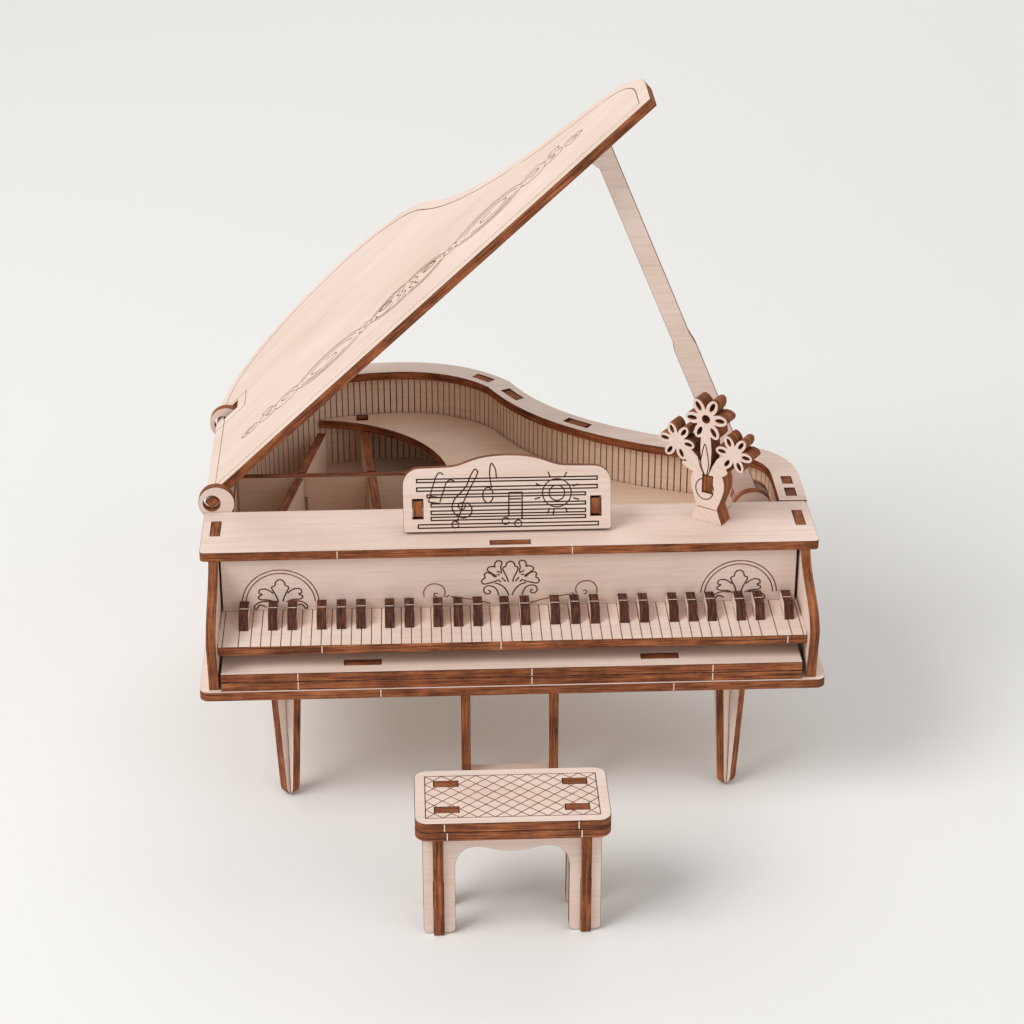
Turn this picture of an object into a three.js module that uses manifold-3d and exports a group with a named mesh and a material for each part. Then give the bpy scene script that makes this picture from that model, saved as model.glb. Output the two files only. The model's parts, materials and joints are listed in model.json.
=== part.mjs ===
// A laser-cut plywood construction kit of a grand piano, with its stool and a flower vase.
// Millimetres, +Z up. The keyboard faces -Y. Every piece is a flat 2 mm board, except the
// three walls that are bent from kerfed strips and the round pin that the lid stay turns on.
// While it is laid out, x = 0 is the left edge of the base board, and y = 0 is the front of
// the case, 0.4 mm in front of its cheeks.
// At the end the whole model moves so that its origin is the middle of its footprint.

import * as THREE from 'three';
import { mergeVertices } from 'three/addons/utils/BufferGeometryUtils.js';
import Module from 'manifold-3d';

const wasm = await Module();
wasm.setup();

// ---- driving dimensions --------------------------------------------------------------

const T = 2; // thickness of the plywood sheet
const FIT = 0.05; // clearance on each side of a tab in its slot
const TURNED_FIT = 0.3; // the same, where the pieces stand in a turned group
const WIDTH = 130; // width of the base board
const BASE_FRONT = 0.8; // its front edge, which the key slip nearly reaches
const DEPTH = 115.5; // depth of the base board, keyboard to tail
const LEG_HEIGHT = 30;
const SIDE_INSET = 2; // outer face of the cheeks and walls, in from the outline
const RIM_WIDTH = 6; // width of the ring on top of the walls

const BASE_TOP = LEG_HEIGHT + T;
const KEY_TOP = BASE_TOP + 9.4; // top of the key board
const SOUND_TOP = BASE_TOP + 12.5; // top of the soundboard
const CASE_TOP = BASE_TOP + 24; // top of the top board and of the rim
const WALL_TOP = CASE_TOP - T;

const SLIP_FRONT = 1.3;
const SLIP_BACK = 9.3;
const KEYS_FRONT = 3.2;
const FALL_FRONT = 18.4; // front face of the fallboard
const TOP_FRONT = 17.1; // front edge of the top board
const TOP_BACK = 36;
const BULKHEAD_FRONT = 33;

const HINGE_X = 1.8; // axis of the lid hinge, along Y
const HINGE_Z = CASE_TOP + 2.1;
const HINGE_DISC = { x: 2.8, radius: 3.85, hole: 1.87 };
const FRONT_HINGE_Y = 36.1; // front faces of the two hinge plates
const REAR_HINGE_Y = 76.9;

const LID_OPEN = 43.1; // degrees, as the stay holds it
const LID_FRONT = 38.4;
const LID_INSET = 1;
const LID_DEPTH_SCALE = 0.92; // the lid is cut a little shorter than the case

const STAY = { x: 119.4, z: 50.2, y: 46.1, lean: 22.6, pinRadius: 1, hole: 1.2 };
const EAR_RADIUS = 4.3;

const DESK = { left: 42.7, right: 86.5, front: 23.6, tilt: 15, height: 16.2, shoulder: 13.7 };
const BRACKET_X = [44.8, 82.3];

const VASE = { x: 108.1, y: 28.6, turn: -34 };

const LEG_PLACES = { front_left: [17.2, 12.3], front_right: [111.5, 12.3], rear: [42, 99] };
const LYRE = { posts: [54.1, 72.8], front: 9, back: 13.3, foot: 0.6 };

const BENCH = { left: 43.9, right: 81.9, front: -44, back: -25, height: 28.3, corner: 2.5 };

// x of the 24 black keys, group by group, and how far they reach in y
const BLACK_KEYS = [
  [9.1], [15.2, 19.2], [25.3, 29.4, 33.5], [39.5, 43.6], [49.6, 53.8, 57.9], [63.5, 67.8],
  [74.1, 78.3, 82.4], [88.5, 92.7], [98.9, 102.9, 106.9], [113, 117], [123.1],
];
const BLACK_KEY = { front: 9.7, back: 17.3, height: 3, tabFront: 11.5, tabBack: 15.5 };

// ---- finishes ------------------------------------------------------------------------

const FINISHES = {
  plywood: { color: 0xe3cdb9, roughness: 0.72, metalness: 0 },
  black_key: { color: 0x7a4a30, roughness: 0.75, metalness: 0 },
  pin: { color: 0xc9a27c, roughness: 0.7, metalness: 0 },
};

// ---- making boards -------------------------------------------------------------------

const model = new THREE.Group();

function addPiece(name, geometry, parent = model, finish = 'plywood') {
  const mesh = new THREE.Mesh(geometry, new THREE.MeshStandardMaterial(FINISHES[finish]));
  mesh.name = name;
  parent.add(mesh);
  return mesh;
}

function solidOf(geometry) {
  const bare = geometry.clone();
  bare.deleteAttribute('normal');
  bare.deleteAttribute('uv');
  const merged = mergeVertices(bare, 1e-4);
  return new wasm.Manifold(new wasm.Mesh({
    numProp: 3,
    vertProperties: Float32Array.from(merged.attributes.position.array),
    triVerts: Uint32Array.from(merged.index.array),
  }));
}

function geometryOf(solid) {
  const mesh = solid.getMesh();
  const geometry = new THREE.BufferGeometry();
  geometry.setAttribute('position', new THREE.BufferAttribute(mesh.vertProperties, 3));
  geometry.setIndex(new THREE.BufferAttribute(mesh.triVerts, 1));
  geometry.computeVertexNormals();
  return geometry;
}

function joined(geometries) {
  const [first, ...others] = geometries.map(solidOf);
  return geometryOf(others.reduce((sum, solid) => sum.add(solid), first));
}

function cut(geometry, ...tools) {
  return geometryOf(tools.map(solidOf).reduce((left, tool) => left.subtract(tool), solidOf(geometry)));
}

// A board's outline is drawn in the plane that its faces lie in: flat (x, y), facing the
// front (x, z) or facing a side (y, z). These two frames stand the drawing up.
const FACING_FRONT = new THREE.Matrix4().makeBasis(
  new THREE.Vector3(1, 0, 0), new THREE.Vector3(0, 0, 1), new THREE.Vector3(0, -1, 0),
);
const FACING_SIDE = new THREE.Matrix4().makeBasis(
  new THREE.Vector3(0, 1, 0), new THREE.Vector3(0, 0, 1), new THREE.Vector3(1, 0, 0),
);

// The outline is extruded first and the holes are then cut out of it.
function extruded(shape, thickness, segments = 10) {
  const outline = new THREE.Shape(shape.getPoints(segments));
  const options = { bevelEnabled: false, curveSegments: segments };
  const board = new THREE.ExtrudeGeometry(outline, { ...options, depth: thickness });
  if (shape.holes.length === 0) return board;
  const tools = shape.holes.map((path) => {
    const tool = new THREE.Shape(path.getPoints(segments));
    return new THREE.ExtrudeGeometry(tool, { ...options, depth: thickness + 2 }).translate(0, 0, -1);
  });
  return cut(board, ...tools);
}

function flatBoard(shape, bottom, thickness = T, segments = 10) {
  return extruded(shape, thickness, segments).translate(0, 0, bottom);
}

function frontBoard(shape, front, thickness = T, segments = 10) {
  const board = extruded(shape, thickness, segments).applyMatrix4(FACING_FRONT);
  return board.translate(0, front + thickness, 0);
}

function sideBoard(shape, left, thickness = T, segments = 10) {
  return extruded(shape, thickness, segments).applyMatrix4(FACING_SIDE).translate(left, 0, 0);
}

function polygon(points) {
  return new THREE.Shape(points.map(([x, y]) => new THREE.Vector2(x, y)));
}

function hole(shape, points) {
  shape.holes.push(new THREE.Path(points.map(([x, y]) => new THREE.Vector2(x, y))));
}

function rectangle(x0, y0, x1, y1) {
  return [[x0, y0], [x1, y0], [x1, y1], [x0, y1]];
}

function slot(shape, x0, y0, x1, y1, gap = FIT) {
  hole(shape, rectangle(x0 - gap, y0 - gap, x1 + gap, y1 + gap));
}

function roundHole(shape, x, y, radius) {
  const path = new THREE.Path();
  path.absarc(x, y, radius, 0, Math.PI * 2, true);
  shape.holes.push(path);
}

function arcPoints(x, y, radius, from, to, steps) {
  return Array.from({ length: steps + 1 }, (_, i) => {
    const angle = THREE.MathUtils.degToRad(from + ((to - from) * i) / steps);
    return [x + radius * Math.cos(angle), y + radius * Math.sin(angle)];
  });
}

function roundedRectangle(x0, y0, x1, y1, r) {
  const shape = new THREE.Shape();
  shape.moveTo(x0 + r, y0);
  shape.lineTo(x1 - r, y0).absarc(x1 - r, y0 + r, r, -Math.PI / 2, 0, false);
  shape.lineTo(x1, y1 - r).absarc(x1 - r, y1 - r, r, 0, Math.PI / 2, false);
  shape.lineTo(x0 + r, y1).absarc(x0 + r, y1 - r, r, Math.PI / 2, Math.PI, false);
  shape.lineTo(x0, y0 + r).absarc(x0 + r, y0 + r, r, Math.PI, 1.5 * Math.PI, false);
  return shape;
}

// ---- the plan of the case ------------------------------------------------------------

// The outline runs from the treble side, round the tail, to the bass side. The tail meets
// the hollow flank at a slight corner, so the outline is two smooth paths.
const FLANK_END = { x: 68.5, y: 102.5 };
const BEND_START = 49; // y where the treble side stops being straight
const SPINE_END = 88; // y where the bass side stops being straight

function bezier(points) {
  return new THREE.CubicBezierCurve(...points.map(([x, y]) => new THREE.Vector2(x, y)));
}

const FLANK = [
  bezier([[WIDTH, BEND_START], [WIDTH, 57], [126, 62.5], [119, 65]]),
  bezier([[119, 65], [113, 67.1], [104, 69], [96, 73.5]]),
  bezier([[96, 73.5], [80, 82], [73, 92], [FLANK_END.x, FLANK_END.y]]),
];
const TAIL = [
  bezier([[FLANK_END.x, FLANK_END.y], [63, 110], [54, DEPTH], [42, DEPTH]]),
  bezier([[42, DEPTH], [20, DEPTH], [3, 104], [0, SPINE_END]]),
];

// Points of a smooth path, moved inwards. The inside of the case is on the path's left.
function insetPoints(curves, inset, steps = 9, from = 0, to = 1) {
  const points = [];
  curves.forEach((curve, c) => {
    for (let i = c === 0 ? 0 : 1; i <= steps; i += 1) {
      const along = (c + i / steps) / curves.length;
      if (along < from - 1e-9 || along > to + 1e-9) continue;
      const point = curve.getPoint(i / steps);
      const tangent = curve.getTangent(i / steps);
      points.push([point.x - tangent.y * inset, point.y + tangent.x * inset]);
    }
  });
  return points;
}

// The corner between flank and tail is cut by the line that halves it. This is a point on
// that line, `inward` from the corner, and `along` beside it towards the tail.
const CORNER_TURN = {
  flank: FLANK[2].getTangent(1).angle(),
  tail: TAIL[0].getTangent(0).angle(),
};

function cornerPoint(inward, along = 0) {
  const angle = (CORNER_TURN.flank + CORNER_TURN.tail) / 2 + Math.PI / 2;
  return [
    FLANK_END.x + inward * Math.cos(angle) + along * Math.sin(angle),
    FLANK_END.y + inward * Math.sin(angle) - along * Math.cos(angle),
  ];
}

function insetCorner(inset) {
  return cornerPoint(inset / Math.cos((CORNER_TURN.tail - CORNER_TURN.flank) / 2));
}

// The outline from (right side, rightFront) round the tail to (left side, leftFront).
function caseOutline(inset, rightFront, leftFront) {
  return [
    [WIDTH - inset, rightFront],
    ...insetPoints(FLANK, inset).slice(0, -1),
    insetCorner(inset),
    ...insetPoints(TAIL, inset).slice(1),
    [inset, leftFront],
  ];
}

// A strip between two insets, along part of the flank or the tail.
function bentStrip(curves, outer, inner, from = 0, to = 1, steps = 9) {
  const outside = insetPoints(curves, outer, steps, from, to);
  const inside = insetPoints(curves, inner, steps, from, to);
  return [...outside, ...inside.reverse()];
}

// ---- base board and legs -------------------------------------------------------------

function crossSlot(shape, x, y) {
  const half = T / 2 + TURNED_FIT;
  const arm = 2.6 + TURNED_FIT;
  const plus = [
    [half, -arm], [half, -half], [arm, -half], [arm, half], [half, half], [half, arm],
    [-half, arm], [-half, half], [-arm, half], [-arm, -half], [-half, -half], [-half, -arm],
  ];
  const turn = Math.SQRT1_2;
  hole(shape, plus.map(([a, b]) => [x + (a - b) * turn, y + (a + b) * turn]));
}

const CHEEK_TAB = { base: [12, 22], top: [24.8, 31.6] };
const SLIP_PEGS = [[30, 37.5], [91.7, 99.3]];
const PEG_FRONT = 4.2;
const LEFT_CHEEK = SIDE_INSET;
const RIGHT_CHEEK = WIDTH - SIDE_INSET - T;

function baseBoard() {
  const corner = 2;
  const shape = polygon([
    ...arcPoints(corner, BASE_FRONT + corner, corner, 180, 270, 5),
    ...arcPoints(WIDTH - corner, BASE_FRONT + corner, corner, 270, 360, 5),
    ...caseOutline(0, BEND_START - 5, SPINE_END - 5).slice(1, -1),
  ]);
  Object.values(LEG_PLACES).forEach(([x, y]) => crossSlot(shape, x, y));
  [LEFT_CHEEK, RIGHT_CHEEK].forEach((x) => {
    slot(shape, x, CHEEK_TAB.base[0], x + T, CHEEK_TAB.base[1]);
  });
  SLIP_PEGS.forEach(([x0, x1]) => slot(shape, x0, PEG_FRONT, x1, PEG_FRONT + T));
  LYRE.posts.forEach((x) => slot(shape, x, LYRE.front + 0.8, x + T, LYRE.back - 0.8));
  return flatBoard(shape, LEG_HEIGHT);
}
addPiece('base_board', baseBoard());

// A leg is two tapered plates that cross at half height, one slotted from above and one
// from below, standing at 45 degrees to the case.
const LEG = { top: 3.8, bottom: 2, ankle: 2.6, tab: 2.6 };

function legPlate(slotFromTop) {
  const half = T / 2 + TURNED_FIT / 2;
  const middle = LEG_HEIGHT / 2;
  const tip = arcPoints(0, LEG.ankle, LEG.bottom, 0, -180, 10).map(([x, z]) => [
    x, LEG.ankle + ((z - LEG.ankle) * LEG.ankle) / LEG.bottom,
  ]);
  if (slotFromTop) {
    return polygon([
      [half, middle], [half, LEG_HEIGHT + T], [LEG.tab, LEG_HEIGHT + T], [LEG.tab, LEG_HEIGHT],
      [LEG.top, LEG_HEIGHT], ...tip, [-LEG.top, LEG_HEIGHT], [-LEG.tab, LEG_HEIGHT],
      [-LEG.tab, LEG_HEIGHT + T], [-half, LEG_HEIGHT + T], [-half, middle],
    ]);
  }
  const rightTip = tip.filter(([x]) => x > half);
  const leftTip = tip.filter(([x]) => x < -half);
  const cutEnd = 0.65;
  return polygon([
    [LEG.tab, LEG_HEIGHT + T], [LEG.tab, LEG_HEIGHT], [LEG.top, LEG_HEIGHT], ...rightTip,
    [half, cutEnd], [half, middle], [-half, middle], [-half, cutEnd],
    ...leftTip, [-LEG.top, LEG_HEIGHT], [-LEG.tab, LEG_HEIGHT], [-LEG.tab, LEG_HEIGHT + T],
  ]);
}

Object.entries(LEG_PLACES).forEach(([place, [x, y]]) => {
  [['a', 45, true], ['b', -45, false]].forEach(([letter, angle, slotFromTop]) => {
    const holder = new THREE.Group();
    holder.position.set(x, y, 0);
    holder.rotation.z = THREE.MathUtils.degToRad(angle);
    model.add(holder);
    addPiece(`leg_${place}_${letter}`, frontBoard(legPlate(slotFromTop), -T / 2), holder);
  });
});

// ---- lyre with the pedals ------------------------------------------------------------

const PEDAL_Z = 3.3;

function lyrePost() {
  const { front, back, foot } = LYRE;
  const shape = polygon([
    [front, foot], [back, foot], [back, LEG_HEIGHT], [back - 0.8, LEG_HEIGHT],
    [back - 0.8, LEG_HEIGHT + T], [front + 0.8, LEG_HEIGHT + T], [front + 0.8, LEG_HEIGHT],
    [front, LEG_HEIGHT],
  ]);
  slot(shape, front + 1, PEDAL_Z, back - 1, PEDAL_Z + T);
  return shape;
}

LYRE.posts.forEach((x, i) => addPiece(`lyre_post_${['left', 'right'][i]}`, sideBoard(lyrePost(), x)));

function pedalBoard() {
  const [left, right] = [LYRE.posts[0] + T + FIT, LYRE.posts[1] - FIT];
  const { front, back } = LYRE;
  const toe = 3.2;
  const pedals = [right - 3, (left + right) / 2, left + 3].flatMap((x) => [
    [x + 1, front], [x + 1, front - toe], [x - 1, front - toe], [x - 1, front],
  ]);
  return polygon([
    [left, back], [left, back - 1], [LYRE.posts[0], back - 1], [LYRE.posts[0], front + 1],
    [left, front + 1], [left, front], ...pedals.reverse(), [right, front], [right, front + 1],
    [LYRE.posts[1] + T, front + 1], [LYRE.posts[1] + T, back - 1], [right, back - 1],
    [right, back],
  ].reverse());
}
addPiece('pedal_board', flatBoard(pedalBoard(), PEDAL_Z));

// ---- keyboard ------------------------------------------------------------------------

const INNER_LEFT = LEFT_CHEEK + T;
const INNER_RIGHT = RIGHT_CHEEK;

['lower', 'upper'].forEach((layer, i) => {
  const shape = polygon(rectangle(INNER_LEFT + 0.5, SLIP_FRONT, INNER_RIGHT - 1, SLIP_BACK));
  SLIP_PEGS.forEach(([x0, x1]) => slot(shape, x0, PEG_FRONT, x1, PEG_FRONT + T));
  addPiece(`key_slip_${layer}`, flatBoard(shape, BASE_TOP + i * T));
});

SLIP_PEGS.forEach(([x0, x1], i) => {
  const shape = polygon(rectangle(x0, LEG_HEIGHT + 0.2, x1, BASE_TOP + 2 * T - 0.2));
  addPiece(`slip_peg_${['left', 'right'][i]}`, frontBoard(shape, PEG_FRONT));
});

const KEY_TAB = [4.6, 11];
const KEY_BACK = 24;

function keyBoard() {
  const [left, right] = [INNER_LEFT + 0.15, INNER_RIGHT - 0.15];
  const shape = polygon([
    [left, KEYS_FRONT], [right, KEYS_FRONT], [right, KEY_TAB[0]],
    [INNER_RIGHT + T, KEY_TAB[0]], [INNER_RIGHT + T, KEY_TAB[1]], [right, KEY_TAB[1]],
    [right, KEY_BACK], [left, KEY_BACK], [left, KEY_TAB[1]], [LEFT_CHEEK, KEY_TAB[1]],
    [LEFT_CHEEK, KEY_TAB[0]], [left, KEY_TAB[0]],
  ]);
  BLACK_KEYS.flat().forEach((x) => {
    slot(shape, x - T / 2, BLACK_KEY.tabFront, x + T / 2, BLACK_KEY.tabBack);
  });
  return flatBoard(shape, KEY_TOP - T);
}
addPiece('key_board', keyBoard());

// A black key is a plate on edge whose tab goes through the key board. The keys of one
// group hang together under the key board on a thin strip, so that a group is one solid.
function blackKey(x) {
  const { front, back, height, tabFront, tabBack } = BLACK_KEY;
  const under = KEY_TOP - T - 0.5;
  return sideBoard(polygon([
    [front, KEY_TOP + 0.02], [tabFront, KEY_TOP + 0.02], [tabFront, under], [tabBack, under],
    [tabBack, KEY_TOP + 0.02], [back, KEY_TOP + 0.02], [back, KEY_TOP + height],
    [front + 1.9, KEY_TOP + height], [front + 0.6, KEY_TOP + height - 0.9],
  ]), x - T / 2);
}

BLACK_KEYS.forEach((group, i) => {
  const name = `black_keys_${String(i + 1).padStart(2, '0')}`;
  const strip = flatBoard(
    polygon(rectangle(group[0] - T / 2, 12.5, group.at(-1) + T / 2, 14.5)),
    KEY_TOP - T - 1.2,
    1.1,
  );
  addPiece(name, joined([...group.map(blackKey), strip]), model, 'black_key');
});

// ---- cheeks, fallboard and top board ---------------------------------------------------

// Front edge of a cheek, from the base up: plinth, knuckle, then the scoop to the top board.
function cheek() {
  const [baseTab, topTab] = [CHEEK_TAB.base, CHEEK_TAB.top];
  const back = TOP_BACK - 0.1;
  const scoop = bezier([[0.9, 44.6], [4.5, 49.5], [13.5, 48.5], [TOP_FRONT + 0.3, WALL_TOP]]);
  const shape = polygon([
    [1.9, BASE_TOP], [1.5, 36.5], [0.4, 42.2], [0.4, 43.6], [0.9, 44.6],
    ...scoop.getPoints(8).slice(1).map((p) => [p.x, p.y]),
    [topTab[0], WALL_TOP], [topTab[0], CASE_TOP], [topTab[1], CASE_TOP], [topTab[1], WALL_TOP],
    [back, WALL_TOP], [back, BASE_TOP], [baseTab[1], BASE_TOP], [baseTab[1], LEG_HEIGHT],
    [baseTab[0], LEG_HEIGHT], [baseTab[0], BASE_TOP],
  ]);
  slot(shape, KEY_TAB[0], KEY_TOP - T, KEY_TAB[1], KEY_TOP, 0.1);
  return shape;
}
addPiece('cheek_left', sideBoard(cheek(), LEFT_CHEEK));
addPiece('cheek_right', sideBoard(cheek(), RIGHT_CHEEK));

const FALL_TAB = [60.8, 69.2];

function fallboard() {
  const [left, right] = [INNER_LEFT + 0.4, INNER_RIGHT - 0.6];
  return polygon([
    [left, KEY_TOP], [right, KEY_TOP], [right, WALL_TOP], [FALL_TAB[1], WALL_TOP],
    [FALL_TAB[1], CASE_TOP], [FALL_TAB[0], CASE_TOP], [FALL_TAB[0], WALL_TOP],
    [left, WALL_TOP],
  ]);
}
addPiece('fallboard', frontBoard(fallboard(), FALL_FRONT));

const BRACKET_TAB = [27.5, 31.5];

function topBoard() {
  const shape = roundedRectangle(0.2, TOP_FRONT, WIDTH - 0.2, TOP_BACK, 1);
  [LEFT_CHEEK, RIGHT_CHEEK].forEach((x) => {
    slot(shape, x, CHEEK_TAB.top[0], x + T, CHEEK_TAB.top[1]);
  });
  slot(shape, FALL_TAB[0], FALL_FRONT, FALL_TAB[1], FALL_FRONT + T);
  BRACKET_X.forEach((x) => slot(shape, x, BRACKET_TAB[0], x + T, BRACKET_TAB[1]));
  return flatBoard(shape, WALL_TOP, T, 4);
}
addPiece('top_board', topBoard());

const bulkhead = polygon(rectangle(INNER_LEFT + 0.3, BASE_TOP, INNER_RIGHT - 0.3, WALL_TOP));
addPiece('front_bulkhead', frontBoard(bulkhead, BULKHEAD_FRONT));

// ---- walls, rim and soundboard ---------------------------------------------------------

const WALL_HEIGHT = WALL_TOP - BASE_TOP;
const WALL_OUT = SIDE_INSET;
const WALL_IN = SIDE_INSET + T;
const SIDE_START = FRONT_HINGE_Y + T + 0.1; // the side walls begin behind the hinge plate
const TAB_TOP = CASE_TOP - 0.2;
const TREBLE_TABS = [[38.7, 42.4], [44.7, 48.1]]; // tabs on the straight treble side
const FLANK_TABS = [[0.737, 0.779], [0.905, 0.965]]; // tabs along the flank, as parts of its length
const TAIL_TABS = [[0.061, 0.165]];
const SPINE_TAB = [50, 57];

function tabs(curves, ranges, outer, inner) {
  return ranges.map(([from, to]) => bentStrip(curves, outer, inner, from, to, 50));
}

const spine = polygon([
  [SIDE_START, BASE_TOP], [SPINE_END, BASE_TOP], [SPINE_END, WALL_TOP],
  [SPINE_TAB[1], WALL_TOP], [SPINE_TAB[1], TAB_TOP], [SPINE_TAB[0], TAB_TOP],
  [SPINE_TAB[0], WALL_TOP], [SIDE_START, WALL_TOP],
]);
addPiece('spine_wall', sideBoard(spine, WALL_OUT));

function bentWall(strip, tabStrips) {
  const wall = flatBoard(polygon(strip), BASE_TOP, WALL_HEIGHT);
  const tabHeight = TAB_TOP - WALL_TOP + 1;
  const tabBoards = tabStrips.map((points) => flatBoard(polygon(points), WALL_TOP - 1, tabHeight));
  return joined([wall, ...tabBoards]);
}

const flankOutside = insetPoints(FLANK, WALL_OUT);
const flankInside = insetPoints(FLANK, WALL_IN).reverse();
const trebleStrip = [
  [WIDTH - WALL_OUT, SIDE_START], ...flankOutside, ...flankInside, [WIDTH - WALL_IN, SIDE_START],
];
const trebleTabStrips = [
  ...TREBLE_TABS.map(([y0, y1]) => rectangle(WIDTH - WALL_IN, y0, WIDTH - WALL_OUT, y1)),
  ...tabs(FLANK, FLANK_TABS, WALL_OUT, WALL_IN),
];

// The two bent walls meet at the corner, each trimmed just short of the halving line.
function cornerBlock(side) {
  const points = [[-1, -0.03], [8, -0.03], [8, 8], [-1, 8]];
  return flatBoard(polygon(points.map(([inward, along]) => cornerPoint(inward, along * side))), 0, 80);
}
addPiece('treble_wall', cut(bentWall(trebleStrip, trebleTabStrips), cornerBlock(1)));

const tailStrip = bentStrip(TAIL, WALL_OUT, WALL_IN, 0, 1, 20);
const tailTabStrips = tabs(TAIL, TAIL_TABS, WALL_OUT, WALL_IN);
const spineClear = flatBoard(polygon(rectangle(0, SPINE_END - 1, 6, SPINE_END + 0.05)), 0, 80);
addPiece('tail_wall', cut(bentWall(tailStrip, tailTabStrips), cornerBlock(-1), spineClear));

function rimTop() {
  const outer = caseOutline(0, TOP_BACK + 0.4, SIDE_START);
  const inner = caseOutline(RIM_WIDTH, TOP_BACK + 0.4, SIDE_START);
  const shape = polygon([...outer, ...inner.reverse()]);
  TREBLE_TABS.forEach(([y0, y1]) => slot(shape, WIDTH - WALL_IN, y0, WIDTH - WALL_OUT, y1, 0.15));
  const gap = 0.15;
  const longer = ([from, to]) => [from - 0.004, to + 0.004];
  [[FLANK, FLANK_TABS], [TAIL, TAIL_TABS]].forEach(([curves, ranges]) => {
    tabs(curves, ranges.map(longer), WALL_OUT - gap, WALL_IN + gap).forEach((strip) => {
      hole(shape, strip);
    });
  });
  slot(shape, WALL_OUT, SPINE_TAB[0], WALL_IN, SPINE_TAB[1], 0.1);
  slot(shape, HINGE_TANG[0], REAR_HINGE_Y, HINGE_TANG[1], REAR_HINGE_Y + T, 0.1);
  return flatBoard(shape, WALL_TOP);
}

const SOUND_HOLE = { x: 20, y: 74, radius: 33.5 };
const EAR_TAB = 2;
const RIB_SLOTS = [[31.6, 106.9, 34.4, 110], [73.7, 80.6, 75.4, 82.4]];

function soundboard() {
  const inset = WALL_IN + 0.3;
  const shape = polygon(caseOutline(inset, BULKHEAD_FRONT + T + 0.1, BULKHEAD_FRONT + T + 0.1));
  [STAY.y - T - 0.2, STAY.y + T + 0.2].forEach((y) => {
    slot(shape, STAY.x - EAR_TAB, y, STAY.x + EAR_TAB, y + T);
  });
  RIB_SLOTS.forEach(([x0, y0, x1, y1]) => hole(shape, rectangle(x0, y0, x1, y1)));
  const board = flatBoard(shape, SOUND_TOP - T);
  const { x, y, radius } = SOUND_HOLE;
  const opening = new THREE.CylinderGeometry(radius, radius, 3 * T, 72);
  opening.rotateX(Math.PI / 2).translate(x, y, SOUND_TOP);
  const corner = new THREE.BoxGeometry(x, 30, 3 * T).translate(x / 2, 105, SOUND_TOP);
  return cut(board, opening, corner);
}
addPiece('soundboard', soundboard());

// Two ribs fan out under the soundboard, crossed by one brace with half-height joints.
const RIB_HEIGHT = SOUND_TOP - T - BASE_TOP;
const RIB_START = BULKHEAD_FRONT + T + 0.3;
const BRACE_Y = 80.4;
const RIBS = {
  left: { front: [9.9, RIB_START], back: [23.3, 104.5] },
  right: { front: [38.7, RIB_START], back: [33.4, 108] },
};

Object.entries(RIBS).forEach(([side, { front, back }]) => {
  const run = new THREE.Vector2(back[0] - front[0], back[1] - front[1]);
  const crossing = ((BRACE_Y + T / 2 - front[1]) / run.y) * run.length();
  const half = T / 2 + 0.55;
  const shape = polygon([
    [0, 0], [run.length(), 0], [run.length(), RIB_HEIGHT], [crossing + half, RIB_HEIGHT],
    [crossing + half, RIB_HEIGHT / 2], [crossing - half, RIB_HEIGHT / 2],
    [crossing - half, RIB_HEIGHT], [0, RIB_HEIGHT],
  ]);
  const holder = new THREE.Group();
  holder.position.set(front[0], front[1], BASE_TOP);
  holder.rotation.z = run.angle() - Math.PI / 2;
  model.add(holder);
  addPiece(`rib_${side}`, sideBoard(shape, -T / 2), holder);
});

function crossBrace() {
  const y = BRACE_Y + T / 2;
  const crossings = Object.values(RIBS).map(({ front, back }) => (
    front[0] + ((y - front[1]) / (back[1] - front[1])) * (back[0] - front[0])
  ));
  const half = T / 2 + 0.55;
  const notches = crossings.flatMap((x) => [
    [x - half, 0], [x - half, RIB_HEIGHT / 2], [x + half, RIB_HEIGHT / 2], [x + half, 0],
  ]);
  const end = 77;
  return polygon([
    [WALL_IN + 0.3, 0], ...notches, [end, 0], [end, RIB_HEIGHT], [WALL_IN + 0.3, RIB_HEIGHT],
  ]);
}
addPiece('cross_brace', frontBoard(crossBrace(), BRACE_Y).translate(0, 0, BASE_TOP));

// ---- lid and its hinge -----------------------------------------------------------------

const HINGE_TANG = [1.2, 5.2];
addPiece('rim_top', rimTop());

function frontHingePlate() {
  const { x, radius, hole: bore } = HINGE_DISC;
  const foot = CASE_TOP - 11;
  const shape = polygon([
    ...arcPoints(x, HINGE_Z, radius, -33, 238, 28), [0.76, foot], [6.03, foot],
  ]);
  roundHole(shape, HINGE_X, HINGE_Z, bore);
  return shape;
}

function rearHingePlate() {
  const { x, radius, hole: bore } = HINGE_DISC;
  const rise = CASE_TOP + 0.02;
  const shape = polygon([
    ...arcPoints(x, HINGE_Z, radius, -32, 222, 28), [-0.1, rise], [HINGE_TANG[0], rise],
    [HINGE_TANG[0], WALL_TOP + 0.1], [HINGE_TANG[1], WALL_TOP + 0.1], [HINGE_TANG[1], rise],
  ]);
  roundHole(shape, HINGE_X, HINGE_Z, bore);
  return shape;
}
addPiece('hinge_plate_front', frontBoard(frontHingePlate(), FRONT_HINGE_Y));
addPiece('hinge_plate_rear', frontBoard(rearHingePlate(), REAR_HINGE_Y));

// The lid is drawn closed, with x = 0 and z = 0 on the hinge axis, then turned open.
// Two square tabs at its bass edge turn in the round holes of the hinge plates.
const NOTCH = { front: 75.4, back: 79.4, depth: 5.8 };
const LID_TAB = 1.4; // how far a tab reaches inwards from the hinge axis
const TAB_EDGE = -1; // the bass edge of the lid, from the hinge axis

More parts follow.
